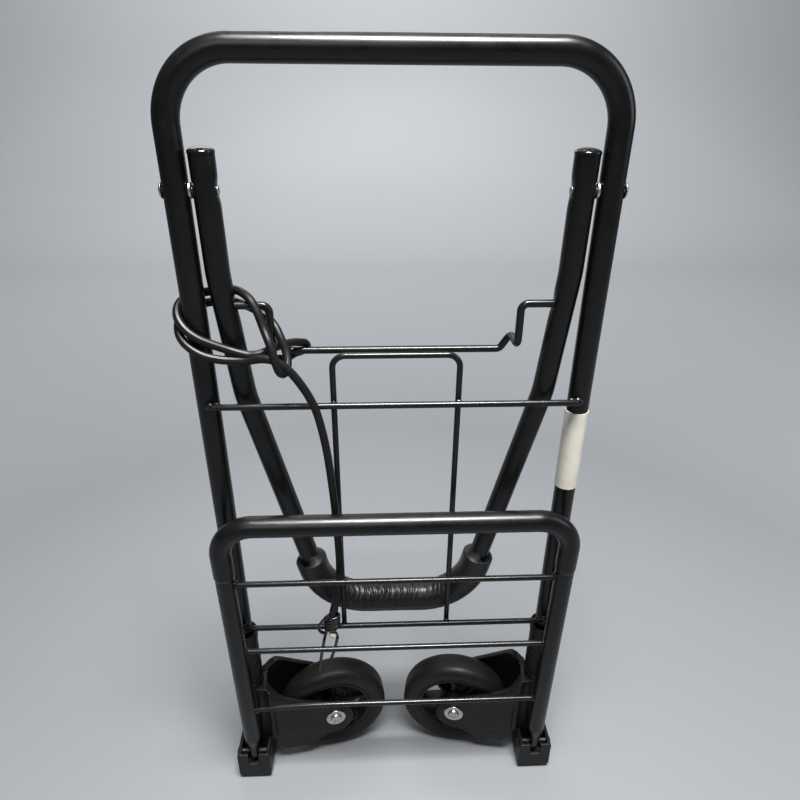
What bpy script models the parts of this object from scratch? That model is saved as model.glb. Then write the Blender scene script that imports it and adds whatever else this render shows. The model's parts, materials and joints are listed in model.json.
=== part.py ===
"""Folding luggage cart, folded flat and standing on its feet.

Millimetre sizes are turned into metres with MM. +Z is up, the folded platform faces -Y and the
origin is on the floor, midway between the two legs of the main frame.
"""

import math

import bmesh
import bpy
from mathutils import Matrix, Vector

MM = 0.001
GAP = 0.3 * MM
SIDES = {"left": -1, "right": 1}

# Main frame: one bent tube, an inverted U
LEG_X = 160 * MM
TUBE_RADIUS = 9.5 * MM
TUBE_WALL = 1.2 * MM
FRAME_TOP_Z = 728 * MM
FRAME_CORNER_RADIUS = 48 * MM
LEG_BOTTOM_Z = 9 * MM

# Wires welded to the front of the main legs, and the rack wire behind them
WIRE_RADIUS = 2.8 * MM
WIRE_Y = -(TUBE_RADIUS + WIRE_RADIUS + GAP)
WIRE_END_X = LEG_X - 4 * MM
UPPER_WIRE_Z = 467 * MM
LOWER_WIRE_Z = 212.5 * MM
RACK_RADIUS = 2.6 * MM
RACK_X = 53 * MM
RACK_TOP_Z = 510 * MM
RACK_CORNER_RADIUS = 11 * MM

# Handle: a bent tube that hangs between the legs, on one rivet at each side
PIVOT_Z = 638 * MM
HANDLE_LEAN = math.radians(2.05)
ARM_X = LEG_X - 2 * TUBE_RADIUS - 2.5 * MM
ARM_TOP = 25 * MM
UPPER_BEND = (ARM_X, -63 * MM)
LOWER_BEND = (ARM_X - 9.3 * MM, -168 * MM)
BOW_CORNER = (72.4 * MM, -412.5 * MM)
BOW_RADIUS = 58 * MM
GRIP_RADIUS = 15.6 * MM
GRIP_TOP = -356 * MM
GRIP_CLEARANCE = 1.2 * MM
RIVET_RADIUS = 2.8 * MM
SPACER_RADIUS = 6.6 * MM

# Lock bail: a wire that swings on the handle arms
BAIL_RADIUS = 3.2 * MM
BAIL_BELOW_PIVOT = 88 * MM
BAIL_END_X = 131.5 * MM
BAIL_LEG_X = 102 * MM
BAIL_LEG = 36 * MM
BAIL_STEP = 28 * MM
BAIL_CENTRE_X = 93 * MM
BAIL_CENTRE = 50 * MM
BAIL_BEND_RADIUS = 6 * MM

# Platform (toe) frame: a bow, two legs pushed into it and three wires
TOE_PIVOT = Vector((0, -23.5, 33)) * MM
TOE_LEAN = math.radians(1.85)
TOE_BAR = 326 * MM
TOE_SEAM = 267 * MM
TOE_BOW_RADIUS = 9.8 * MM
TOE_CORNER_RADIUS = 32 * MM
TOE_LEG_RADIUS = 9.0 * MM
TOE_SPIGOT_RADIUS = 8.0 * MM
TOE_SPIGOT = 24 * MM
TOE_LEG_BORE = 6.6 * MM
TOE_WIRES = {"upper": 257 * MM, "middle": 165 * MM, "lower": 77 * MM}
LOWER_WIRE_DIP = 5 * MM
TONGUE_HALF_WIDTH = 5 * MM
TONGUE_HALF_DEPTH = 7 * MM
TONGUE_END = -8 * MM
TONGUE_TOP = 12 * MM
TAPER_TOP = 30 * MM
TOE_PIN_RADIUS = 3.0 * MM

# Feet
FOOT_HALF_WIDTH = 18 * MM
FOOT_FRONT_Y = -34.5 * MM
FOOT_BACK_Y = 17 * MM
FOOT_TOP_Z = 40 * MM
PAD_THICKNESS = 5 * MM
POCKET_HALF_WIDTH = 14 * MM
POCKET_FRONT_Y = -31.5 * MM
POCKET_BACK_Y = -11.8 * MM
POCKET_FLOOR_Z = 20 * MM
SLOT_HALF_WIDTH = 5.8 * MM
SLOT_FLOOR_Z = 24.5 * MM

# Collars on the main legs, above the wheel brackets
COLLAR_RADIUS = 14.3 * MM
COLLAR_Z = (156.3 * MM, 197 * MM)
LOCK_RING_RADIUS = 13.9 * MM
LOCK_RING_Z = (128.4 * MM, 156 * MM)
LEG_CLEARANCE = 0.4 * MM

# Wheels and their brackets, in a frame whose axis is the main leg
FOLDED_ANGLE = math.radians(10)
WHEEL_RADIUS = 60 * MM
WHEEL_HALF_WIDTH = 15 * MM
WHEEL_REACH = 89.6 * MM
WHEEL_Z = WHEEL_RADIUS + 1 * MM
RIM_RADIUS = 42 * MM
RIM_HALF_WIDTH = 12.5 * MM
HUB_HALF_LENGTH = 16.2 * MM
HUB_RADIUS = 12 * MM
SPOKES = 5
SPOKE_HALF_WIDTH = 4 * MM
WEB_HALF_THICKNESS = 6 * MM
ARM_INNER_Y = 17 * MM
ARM_OUTER_Y = 20.5 * MM
PANEL_Y = 21.7 * MM
BARREL_RADIUS = 13.8 * MM
BARREL_Z = (41 * MM, 128 * MM)
AXLE_RADIUS = 3.9 * MM
BUSH_RADIUS = 6.4 * MM
WASHER_RADIUS = 11 * MM

# Elastic cord that is kept on the cart
CORD_RADIUS = 3.2 * MM
FERRULE_RADIUS = 5.2 * MM
HOOK_RADIUS = 1.5 * MM


def clear_scene():
    for obj in list(bpy.data.objects):
        bpy.data.objects.remove(obj)


def new_collection(name):
    collection = bpy.data.collections.new(name)
    bpy.context.scene.collection.children.link(collection)
    return collection


def new_material(name, colour, roughness, metallic):
    material = bpy.data.materials.new(name)
    material.use_nodes = True
    shader = material.node_tree.nodes["Principled BSDF"]
    shader.inputs["Base Color"].default_value = (*colour, 1)
    shader.inputs["Roughness"].default_value = roughness
    shader.inputs["Metallic"].default_value = metallic
    return material


def millimetres(points):
    return [Vector(point) * MM for point in points]


def axis_empty(name, location, rotation=(0, 0, 0), parent=None):
    empty = bpy.data.objects.new(name, None)
    empty.location = location
    empty.rotation_euler = rotation
    empty.parent = parent
    PARTS.objects.link(empty)
    return empty


def finish(obj, material, parent=None):
    """Gives an object its material and its parent, and shades its round faces smooth."""
    obj.data.materials.clear()
    obj.data.materials.append(material)
    obj.parent = parent
    if obj.type == "MESH":
        obj.data.shade_smooth()
        obj.data.set_sharp_from_angle(angle=math.radians(35))
    return obj


def as_tool(obj):
    """Makes an object a hidden Boolean tool."""
    for collection in list(obj.users_collection):
        collection.objects.unlink(obj)
    TOOLS.objects.link(obj)
    obj.hide_render = True
    obj.display_type = "WIRE"
    return obj


def boolean(target, tool, operation):
    as_tool(tool)
    modifier = target.modifiers.new(f"{operation.lower()} {tool.name}", "BOOLEAN")
    modifier.operation = operation
    modifier.object = tool
    return target


def object_from_bmesh(name, mesh_data):
    bmesh.ops.recalc_face_normals(mesh_data, faces=mesh_data.faces)
    mesh = bpy.data.meshes.new(name)
    mesh_data.to_mesh(mesh)
    mesh_data.free()
    obj = bpy.data.objects.new(name, mesh)
    PARTS.objects.link(obj)
    return obj


def fillet(corner, before, after, radius, steps):
    """Points of the arc that rounds a corner of a path."""
    to_before = (before - corner).normalized()
    to_after = (after - corner).normalized()
    half_angle = to_before.angle(to_after) / 2
    start = corner + to_before * radius / math.tan(half_angle)
    centre = corner + (to_before + to_after).normalized() * radius / math.sin(half_angle)
    spoke = start - centre
    turn = math.pi - 2 * half_angle
    axis = to_after.cross(to_before).normalized()
    return [centre + Matrix.Rotation(turn * i / steps, 3, axis) @ spoke for i in range(steps + 1)]


def rounded_path(points, radii, step_angle=12):
    """A path through points, with each inner corner rounded to its radius."""
    path = [points[0]]
    for before, corner, after, radius in zip(points, points[1:], points[2:], radii):
        turn = 180 - math.degrees((before - corner).angle(after - corner))
        path += fillet(corner, before, after, radius, max(2, round(turn / step_angle)))
    return path + [points[-1]]


def curve_object(name, path, radius, resolution, capped, scales=None):
    curve = bpy.data.curves.new(name, "CURVE")
    curve.dimensions = "3D"
    curve.bevel_depth = radius
    curve.bevel_resolution = resolution
    curve.use_fill_caps = capped
    spline = curve.splines.new("POLY")
    spline.points.add(len(path) - 1)
    for index, point in enumerate(path):
        spline.points[index].co = (*point, 1)
        spline.points[index].radius = scales[index] if scales else 1
    obj = bpy.data.objects.new(name, curve)
    PARTS.objects.link(obj)
    return obj


def rod(name, path, radius, material, parent=None):
    """A solid round wire along a path."""
    return finish(curve_object(name, path, radius, 2, True), material, parent)


def mesh_from_curve(curve_obj):
    """Replaces a curve object by a welded mesh object of the same name."""
    bpy.context.view_layer.update()
    graph = bpy.context.evaluated_depsgraph_get()
    mesh = bpy.data.meshes.new_from_object(curve_obj.evaluated_get(graph))
    name = curve_obj.name
    matrix = curve_obj.matrix_world.copy()
    bpy.data.objects.remove(curve_obj)
    mesh_data = bmesh.new()
    mesh_data.from_mesh(mesh)
    bmesh.ops.remove_doubles(mesh_data, verts=mesh_data.verts, dist=1e-6)
    bpy.data.meshes.remove(mesh)
    obj = object_from_bmesh(name, mesh_data)
    obj.matrix_world = matrix
    return obj


def tube(name, path, radius, material, parent=None):
    """A hollow tube with open ends along a path."""
    obj = mesh_from_curve(curve_object(name, path, radius, 3, False))
    wall = obj.modifiers.new("wall", "SOLIDIFY")
    wall.thickness = TUBE_WALL
    wall.offset = -1
    wall.use_even_offset = True
    return finish(obj, material, parent)


def cross_pin(name, x_low, x_high, y, z, radius, sides=16):
    """A cylinder along X, used to drill across a tube."""
    bpy.ops.mesh.primitive_cylinder_add(vertices=sides, radius=radius, depth=x_high - x_low)
    obj = bpy.context.object
    obj.name = name
    place = Matrix.Translation(((x_low + x_high) / 2, y, z)) @ Matrix.Rotation(math.pi / 2, 4, "Y")
    obj.data.transform(place)
    return obj


def block(name, low, high, bevel=0.0, segments=2):
    """A box between two corners, with rounded edges."""
    bpy.ops.mesh.primitive_cube_add(size=1)
    obj = bpy.context.object
    obj.name = name
    low, high = Vector(low), Vector(high)
    size = Matrix.Diagonal((*(high - low), 1))
    obj.data.transform(Matrix.Translation((low + high) / 2) @ size)
    for collection in list(obj.users_collection):
        collection.objects.unlink(obj)
    PARTS.objects.link(obj)
    if bevel:
        modifier = obj.modifiers.new("rounding", "BEVEL")
        modifier.width = bevel
        modifier.segments = segments
    return obj


def turned(name, profile, closed, steps, frame=Matrix.Identity(4)):
    """A shape turned about Z. The profile runs down its outer side; a closed one is a ring."""
    mesh_data = bmesh.new()
    vertices = [mesh_data.verts.new((radius, 0, height)) for radius, height in profile]
    for first, second in zip(vertices, vertices[1:]):
        mesh_data.edges.new((first, second))
    if closed:
        mesh_data.edges.new((vertices[-1], vertices[0]))
    mesh = bpy.data.meshes.new(name)
    mesh_data.to_mesh(mesh)
    mesh_data.free()
    source = bpy.data.objects.new(name, mesh)
    PARTS.objects.link(source)
    screw = source.modifiers.new("turn", "SCREW")
    screw.steps = steps
    screw.render_steps = steps
    screw.use_merge_vertices = True
    screw.merge_threshold = 1e-6
    screw.use_smooth_shade = True
    bpy.context.view_layer.update()
    graph = bpy.context.evaluated_depsgraph_get()
    result = bpy.data.meshes.new_from_object(source.evaluated_get(graph))
    bpy.data.objects.remove(source)
    result.transform(frame)
    obj = bpy.data.objects.new(name, result)
    obj.data.name = name
    PARTS.objects.link(obj)
    return obj


def ring(name, outer, inner, low, high, steps=24, frame=Matrix.Identity(4)):
    return turned(name, [(outer, high), (outer, low), (inner, low), (inner, high)], True, steps, frame)


def outline_solid(name, outlines, thickness):
    """A flat solid, half above and half below the XY plane. Outlines after the first are its holes."""
    curve = bpy.data.curves.new(name, "CURVE")
    curve.dimensions = "2D"
    curve.fill_mode = "BOTH"
    curve.extrude = thickness / 2
    for outline in outlines:
        spline = curve.splines.new("POLY")
        spline.points.add(len(outline) - 1)
        spline.use_cyclic_u = True
        for index, (x, y) in enumerate(outline):
            spline.points[index].co = (x, y, 0, 1)
    flat = bpy.data.objects.new(name, curve)
    PARTS.objects.link(flat)
    return mesh_from_curve(flat)


def plate(name, outlines, y_low, y_high):
    """A plate in the XZ plane, between two Y values."""
    obj = outline_solid(name, outlines, y_high - y_low)
    upright = Matrix.Translation((0, (y_low + y_high) / 2, 0)) @ Matrix.Rotation(math.pi / 2, 4, "X")
    obj.data.transform(upright)
    return obj


def slab(name, outline, z_low, z_high):
    """A solid with the same outline at every height between two Z values."""
    obj = outline_solid(name, [outline], z_high - z_low)
    obj.data.transform(Matrix.Translation((0, 0, (z_low + z_high) / 2)))
    return obj


def arc(centre_x, centre_z, radius, start, end, steps):
    """Points of an arc in the XZ plane, from one angle to another in degrees."""
    angles = [math.radians(start + (end - start) * i / steps) for i in range(steps + 1)]
    return [(centre_x + radius * math.cos(a), centre_z + radius * math.sin(a)) for a in angles]


def along_y(x, z):
    """A frame whose Z axis runs towards -Y, through a point of the XZ plane."""
    return Matrix.Translation((x, 0, z)) @ Matrix.Rotation(math.pi / 2, 4, "X")


def along_x(x, y, z, side):
    """A frame whose Z axis runs outwards along X on the given side."""
    return Matrix.Translation((x, y, z)) @ Matrix.Rotation(side * math.pi / 2, 4, "Y")


def main_frame():
    top = FRAME_TOP_Z
    points = [Vector(p) for p in (
        (-LEG_X, 0, LEG_BOTTOM_Z), (-LEG_X, 0, top), (LEG_X, 0, top), (LEG_X, 0, LEG_BOTTOM_Z))]
    path = rounded_path(points, [FRAME_CORNER_RADIUS] * 2)
    frame = tube("main_frame_tube", path, TUBE_RADIUS, BLACK_STEEL)
    for name, side in SIDES.items():
        reach = sorted((side * (LEG_X - 2 * TUBE_RADIUS), side * (LEG_X + 2 * TUBE_RADIUS)))
        drill = cross_pin(f"frame_drill_{name}", *reach, 0, PIVOT_Z, RIVET_RADIUS + GAP)
        boolean(frame, drill, "DIFFERENCE")


def frame_wires():
    for name, height in (("upper", UPPER_WIRE_Z), ("lower", LOWER_WIRE_Z)):
        ends = [Vector((x, WIRE_Y, height)) for x in (-WIRE_END_X, WIRE_END_X)]
        rod(f"{name}_cross_wire", ends, WIRE_RADIUS, WIRE_STEEL)
    rack_y = WIRE_Y + WIRE_RADIUS + RACK_RADIUS + GAP
    bottom = LOWER_WIRE_Z - WIRE_RADIUS
    points = [Vector((x, rack_y, z)) for x, z in (
        (-RACK_X, bottom), (-RACK_X, RACK_TOP_Z), (RACK_X, RACK_TOP_Z), (RACK_X, bottom))]
    path = rounded_path(points, [RACK_CORNER_RADIUS] * 2, 18)
    rod("back_rack_wire", path, RACK_RADIUS, WIRE_STEEL)


def handle_outline():
    """Centre line of the handle tube, in the plane of the handle, from one arm's top to the other."""
    half = [(ARM_X, ARM_TOP), UPPER_BEND, LOWER_BEND, BOW_CORNER]
    right = [Vector((x, 0, z)) for x, z in half]
    left = [Vector((-x, 0, z)) for x, z in reversed(half)]
    radii = [120 * MM, 90 * MM, BOW_RADIUS]
    return rounded_path(right + left, radii + radii[::-1])


def handle(pivot):
    path = handle_outline()
    arms = tube("handle_tube", path, TUBE_RADIUS, BLACK_STEEL, pivot)
    for name, side in SIDES.items():
        inner, outer = ARM_X - 2 * TUBE_RADIUS, ARM_X + 2 * TUBE_RADIUS
        pivot_drill = cross_pin(
            f"pivot_drill_{name}", *sorted((side * inner, side * outer)), 0, 0, RIVET_RADIUS + GAP)
        bail_drill = cross_pin(
            f"bail_drill_{name}", *sorted((side * inner, side * ARM_X)), 0, -BAIL_BELOW_PIVOT,
            BAIL_RADIUS + GAP)
        for drill in (pivot_drill, bail_drill):
            drill.parent = pivot
            boolean(arms, drill, "DIFFERENCE")


def handle_grip(pivot):
    """Foam sleeve over the bow of the handle."""
    bow = [point for point in handle_outline() if point.z < GRIP_TOP]
    slope = (BOW_CORNER[0] - LOWER_BEND[0]) / (BOW_CORNER[1] - LOWER_BEND[1])
    top_x = LOWER_BEND[0] + (GRIP_TOP - LOWER_BEND[1]) * slope
    path = [Vector((top_x, 0, GRIP_TOP)), *bow, Vector((-top_x, 0, GRIP_TOP))]
    sleeve = mesh_from_curve(curve_object("handle_grip", path, GRIP_RADIUS, 3, False))
    wall = sleeve.modifiers.new("wall", "SOLIDIFY")
    wall.thickness = GRIP_RADIUS - TUBE_RADIUS - GRIP_CLEARANCE
    wall.offset = -1
    wall.use_even_offset = True
    finish(sleeve, FOAM, pivot)


def handle_caps(pivot):
    """Domed plugs in the open tops of the arms."""
    plug = TUBE_RADIUS - TUBE_WALL - 0.7 * MM
    top = ARM_TOP + GAP
    profile = [
        (0, top + 4.6 * MM), (4.5 * MM, top + 4.2 * MM), (7.8 * MM, top + 3.1 * MM),
        (9.6 * MM, top + 1.6 * MM), (9.9 * MM, top), (plug, top), (plug, top - 10 * MM),
        (0, top - 10 * MM)]
    for name, side in SIDES.items():
        frame = Matrix.Translation((side * ARM_X, 0, 0))
        finish(turned(f"handle_cap_{name}", profile, False, 16, frame), GLOSS_PLASTIC, pivot)


def handle_pivots():
    """The rivets that the handle turns on, with a spacer between each leg and arm."""
    leg_outside = TUBE_RADIUS + GAP
    arm_inside = ARM_X - TUBE_RADIUS - GAP - LEG_X
    head, tail = 6.4 * MM, 4.6 * MM
    rivet = [
        (0, leg_outside + 2.2 * MM), (head * 0.7, leg_outside + 1.6 * MM), (head, leg_outside),
        (RIVET_RADIUS, leg_outside), (RIVET_RADIUS, arm_inside), (tail, arm_inside),
        (tail * 0.8, arm_inside - 1.3 * MM), (0, arm_inside - 1.5 * MM)]
    for name, side in SIDES.items():
        frame = along_x(side * LEG_X, 0, PIVOT_Z, side)
        finish(turned(f"handle_rivet_{name}", rivet, False, 14, frame), ZINC)
        spacer = ring(
            f"handle_spacer_{name}", SPACER_RADIUS, RIVET_RADIUS + GAP,
            -TUBE_RADIUS - 2.2 * MM, -TUBE_RADIUS - GAP, 16, frame)
        finish(spacer, ZINC)


def lock_bail(pivot):
    """Bent wire: out of each arm, down, back, down again and across."""
    half = [
        (BAIL_END_X, 0, 0), (BAIL_LEG_X, 0, 0), (BAIL_LEG_X, 0, -BAIL_LEG),
        (BAIL_LEG_X, BAIL_STEP, -BAIL_LEG), (BAIL_CENTRE_X, BAIL_STEP, -BAIL_CENTRE)]
    right = [Vector(point) for point in half]
    left = [Vector((-x, y, z)) for x, y, z in reversed(half)]
    path = rounded_path(right + left, [BAIL_BEND_RADIUS] * (2 * len(half) - 2), 22)
    rod("lock_bail", path, BAIL_RADIUS, WIRE_STEEL, pivot)


def toe_bow(pivot):
    points = [Vector(p) for p in (
        (-LEG_X, 0, TOE_SEAM + GAP), (-LEG_X, 0, TOE_BAR), (LEG_X, 0, TOE_BAR), (LEG_X, 0, TOE_SEAM + GAP))]
    path = rounded_path(points, [TOE_CORNER_RADIUS] * 2)
    tube("toe_bow", path, TOE_BOW_RADIUS, BLACK_STEEL, pivot)


def toe_legs(pivot):
    """Straight tubes: swaged at the top into the bow, pressed flat at the bottom for the hinge."""
    spigot = TOE_SPIGOT_RADIUS / TOE_LEG_RADIUS
    stations = [
        (TONGUE_END, 0.62), (TONGUE_END + 2 * MM, 0.85), (TONGUE_END + 5 * MM, 1), (0, 1),
        (TONGUE_TOP, 1), ((TONGUE_TOP + TAPER_TOP) / 2, 1), (TAPER_TOP, 1), (TOE_SEAM / 2, 1),
        (TOE_SEAM - GAP, 1), (TOE_SEAM, spigot), (TOE_SEAM + TOE_SPIGOT, spigot)]
    for name, side in SIDES.items():
        path = [Vector((side * LEG_X, 0, height)) for height, _ in stations]
        scales = [scale for _, scale in stations]
        leg = mesh_from_curve(
            curve_object(f"toe_leg_{name}", path, TOE_LEG_RADIUS, 3, True, scales))
        for vertex in leg.data.vertices:
            full = (vertex.co.z - TONGUE_TOP) / (TAPER_TOP - TONGUE_TOP)
            full = min(max(full, 0), 1)
            width = TONGUE_HALF_WIDTH / TOE_LEG_RADIUS
            depth = TONGUE_HALF_DEPTH / TOE_LEG_RADIUS
            offset = vertex.co.x - side * LEG_X
            vertex.co.x = side * LEG_X + offset * (width + (1 - width) * full)
            vertex.co.y *= depth + (1 - depth) * full
        reach = sorted((side * (LEG_X - 12 * MM), side * (LEG_X + 12 * MM)))
        drill = cross_pin(f"tongue_drill_{name}", *reach, 0, 0, TOE_PIN_RADIUS + GAP)
        drill.parent = pivot
        bore_top = TOE_SEAM + TOE_SPIGOT
        bore = turned(
            f"toe_leg_bore_{name}",
            [(0, bore_top + 5 * MM), (TOE_LEG_BORE, bore_top + 5 * MM), (TOE_LEG_BORE, TAPER_TOP + 8 * MM),
             (0, TAPER_TOP + 2 * MM)],
            False, 16, Matrix.Translation((side * LEG_X, 0, 0)))
        bore.parent = pivot
        boolean(leg, drill, "DIFFERENCE")
        boolean(leg, bore, "DIFFERENCE")
        finish(leg, BLACK_STEEL, pivot)


def toe_wires(pivot):
    end = LEG_X - TOE_LEG_RADIUS - GAP
    for name, height in TOE_WIRES.items():
        dip = LOWER_WIRE_DIP if name == "lower" else 0
        path = [Vector((x, 0, z)) for x, z in (
            (-end, height - dip), (-0.78 * end, height - 0.36 * dip), (-0.5 * end, height), (end, height))]
        if not dip:
            path = [path[0], path[-1]]
        rod(f"toe_wire_{name}", path, WIRE_RADIUS, WIRE_STEEL, pivot)


def toe_pins():
    """Rivet pins of the platform hinge, across the feet."""
    outside = FOOT_HALF_WIDTH + GAP
    profile = [
        (0, outside + 1.2 * MM), (3.4 * MM, outside + 1.0 * MM), (4.4 * MM, outside),
        (TOE_PIN_RADIUS, outside), (TOE_PIN_RADIUS, -outside), (4.4 * MM, -outside),
        (3.4 * MM, -outside - 1.0 * MM), (0, -outside - 1.2 * MM)]
    for name, side in SIDES.items():
        frame = along_x(side * LEG_X, TOE_PIVOT.y, TOE_PIVOT.z, side)
        finish(turned(f"toe_pin_{name}", profile, False, 12, frame), ZINC)


def feet():
    """Moulded blocks: the main leg stands in the back of each, the platform hinges in the front."""
    for name, side in SIDES.items():
        centre = side * LEG_X
        foot = block(
            f"foot_block_{name}",
            (centre - FOOT_HALF_WIDTH, FOOT_FRONT_Y, PAD_THICKNESS + GAP),
            (centre + FOOT_HALF_WIDTH, FOOT_BACK_Y, FOOT_TOP_Z), 2.4 * MM)
        above = FOOT_TOP_Z + 10 * MM
        pocket = block(
            f"pocket_{name}", (centre - POCKET_HALF_WIDTH, POCKET_FRONT_Y, POCKET_FLOOR_Z),
            (centre + POCKET_HALF_WIDTH, POCKET_BACK_Y, above))
        slot = block(
            f"slot_{name}", (centre - SLOT_HALF_WIDTH, FOOT_FRONT_Y - 5 * MM, SLOT_FLOOR_Z),
            (centre + SLOT_HALF_WIDTH, POCKET_FRONT_Y + 3 * MM, above))
        bore_radius = TUBE_RADIUS + GAP
        bore_floor = LEG_BOTTOM_Z - GAP
        bore = turned(
            f"leg_bore_{name}",
            [(0, above), (bore_radius, above), (bore_radius, bore_floor), (0, bore_floor)],
            False, 24, Matrix.Translation((centre, 0, 0)))
        pin_hole = cross_pin(
            f"toe_pin_hole_{name}", centre - 25 * MM, centre + 25 * MM, TOE_PIVOT.y, TOE_PIVOT.z,
            TOE_PIN_RADIUS + GAP)
        for tool in (pocket, slot, bore, pin_hole):
            boolean(foot, tool, "DIFFERENCE")
        finish(foot, MATT_PLASTIC)
        inset = 1.5 * MM
        pad = block(
            f"foot_pad_{name}",
            (centre - FOOT_HALF_WIDTH + inset, FOOT_FRONT_Y + inset, 0),
            (centre + FOOT_HALF_WIDTH - inset, FOOT_BACK_Y - inset, PAD_THICKNESS), 1.4 * MM)
        finish(pad, RUBBER)


def leg_collars():
    bore = TUBE_RADIUS + LEG_CLEARANCE
    for name, side in SIDES.items():
        place = Matrix.Translation((side * LEG_X, 0, 0))
        low, high = COLLAR_Z
        chamfer = 1.5 * MM
        profile = [
            (COLLAR_RADIUS - chamfer, high), (COLLAR_RADIUS, high - chamfer), (COLLAR_RADIUS, low),
            (bore, low), (bore, high)]
        finish(turned(f"leg_collar_{name}", profile, True, 20, place), MATT_PLASTIC)
        lock_ring = ring(f"lock_ring_{name}", LOCK_RING_RADIUS, bore, *LOCK_RING_Z, 20, place)
        finish(lock_ring, MATT_PLASTIC)


def in_mm(points):
    return [(x * MM, z * MM) for x, z in points]


def front_arm_outline():
    """Side of the wheel bracket that faces forward when folded, as (distance from the leg, Z)."""
    points = [(17, 44), (20, 44), (20, 33), (24, 26.5), (32, 20.5), (58, 18.5)]
    points += arc(87, 57, 23, -100, 60, 8)
    return in_mm(points + [(78, 87), (53, 96), (39, 103), (30, 108.5), (23, 114.5), (17, 119.5)])


def panel_outline():
    """Raised panel on the front arm."""
    points = [(24, 46), (60, 38)]
    points += arc(87, 57, 20, -91, 55, 8)
    return in_mm(points + [(75, 84), (53, 92), (39, 99), (30, 104.5), (24, 108)])


def rear_arm_outline():
    points = [(12, 44), (28, 44), (28, 32), (60, 30)]
    points += arc(88, 57, 21, -95, 30, 7)
    return in_mm(points + [(88, 98), (64, 111), (34, 126), (27, 128.5), (21, 125), (15, 118.5), (12, 116)])


def corner_plan():
    """Wall round the inner corner of the fork, seen from above, as (distance from the leg, Y)."""
    front = [(4, -15), (12, -15.5), (16, -17), (19, -19.2), (22.5, -20.2), (42, -19.6), (42, -17.6)]
    inside = [(36, -16.7), (27.5, -14.6), (22, -10), (18.5, -4), (17.3, 2), (17.3, 7), (20, 9.5)]
    rear = [(27, 12.4), (36, 17.4), (36, 20.2), (13, 20.2), (6, 14), (4, 0)]
    return in_mm(front + inside + rear)


def above_corner():
    """What is cut from the top of the corner wall, as outlines between two Y values."""
    top, right = 140, 50
    front = [(0, top), (0, 120), (15, 120), (17, 119), (23, 114.2), (30, 108.2), (39, 102.7), (right, 97)]
    middle = [(0, top), (0, 119.5), (right, 119.5)]
    rear = [(0, top), (0, 111), (8, 112), (15, 118), (21, 124.6), (27, 128.1), (34, 125.6), (right, 117)]
    cuts = ((front, -25, -1), (middle, -2.5, 9), (rear, 7.5, 25))
    return [(in_mm(outline + [(right, top)]), low * MM, high * MM) for outline, low, high in cuts]


def wheel_bracket(name, side, pivot):
    """A fork that turns about the main leg and carries one wheel."""
    def to_side(outline):
        return [(-side * x, z) for x, z in outline]

    bore = TUBE_RADIUS + LEG_CLEARANCE
    low, high = BARREL_Z
    barrel = [(0, high), (BARREL_RADIUS, high), (BARREL_RADIUS, low), (0, low)]
    bracket = turned(f"wheel_bracket_{name}", barrel, False, 24)
    corner = slab(f"corner_{name}", to_side(corner_plan()), 45 * MM, 130 * MM)
    for index, (outline, y_low, y_high) in enumerate(above_corner()):
        cut = plate(f"above_corner_{name}_{index}", [to_side(outline)], y_low, y_high)
        cut.parent = pivot
        boolean(corner, cut, "DIFFERENCE")
    front = plate(f"front_arm_{name}", [to_side(front_arm_outline())], -ARM_OUTER_Y, -ARM_INNER_Y)
    panel = plate(f"panel_{name}", [to_side(panel_outline())], -PANEL_Y, -ARM_OUTER_Y + 1 * MM)
    rear = plate(f"rear_arm_{name}", [to_side(rear_arm_outline())], ARM_INNER_Y, ARM_OUTER_Y)
    reach = -side * WHEEL_REACH
    drill = ring_cutter(f"axle_drill_{name}", reach, WHEEL_Z, AXLE_RADIUS + GAP)
    leg_bore = turned(
        f"bracket_bore_{name}",
        [(0, 150 * MM), (bore, 150 * MM), (bore, 30 * MM), (0, 30 * MM)], False, 24)
    for tool in (corner, front, panel, rear):
        tool.parent = pivot
        boolean(bracket, tool, "UNION")
    for tool in (drill, leg_bore):
        tool.parent = pivot
        boolean(bracket, tool, "DIFFERENCE")
    finish(bracket, MATT_PLASTIC, pivot)


def ring_cutter(name, x, z, radius):
    """A cylinder along Y that drills across a bracket."""
    reach = PANEL_Y + 10 * MM
    profile = [(0, reach), (radius, reach), (radius, -reach), (0, -reach)]
    return turned(name, profile, False, 16, along_y(x, z))


def axle(name, side, pivot):
    """Bolt, washer, bush and lock nut of one wheel. The head is on the front arm."""
    frame = along_y(-side * WHEEL_REACH, WHEEL_Z)
    face = PANEL_Y + GAP
    washer_top = face + 1.3 * MM
    head = washer_top + GAP
    tail = -ARM_OUTER_Y - 8 * MM
    bolt = [
        (0, head + 2.6 * MM), (4.4 * MM, head + 2.2 * MM), (6.3 * MM, head + 0.9 * MM), (6.5 * MM, head),
        (AXLE_RADIUS, head), (AXLE_RADIUS, tail), (0, tail)]
    finish(turned(f"axle_bolt_{name}", bolt, False, 14, frame), ZINC, pivot)
    washer = ring(
        f"axle_washer_{name}", WASHER_RADIUS, AXLE_RADIUS + GAP, face, washer_top, 20, frame)
    finish(washer, ZINC, pivot)
    inside = ARM_INNER_Y - GAP
    bush = ring(f"axle_bush_{name}", BUSH_RADIUS, AXLE_RADIUS + GAP, -inside, inside, 14, frame)
    finish(bush, ZINC, pivot)
    centre = (-side * WHEEL_REACH, WHEEL_Z)
    hexagon = arc(*centre, 7.4 * MM, 0, 300, 5)
    thread = arc(*centre, AXLE_RADIUS + GAP, 0, 337.5, 15)
    nut = plate(
        f"axle_nut_{name}", [hexagon, thread], ARM_OUTER_Y + GAP, ARM_OUTER_Y + 6.3 * MM)
    finish(nut, ZINC, pivot)


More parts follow.
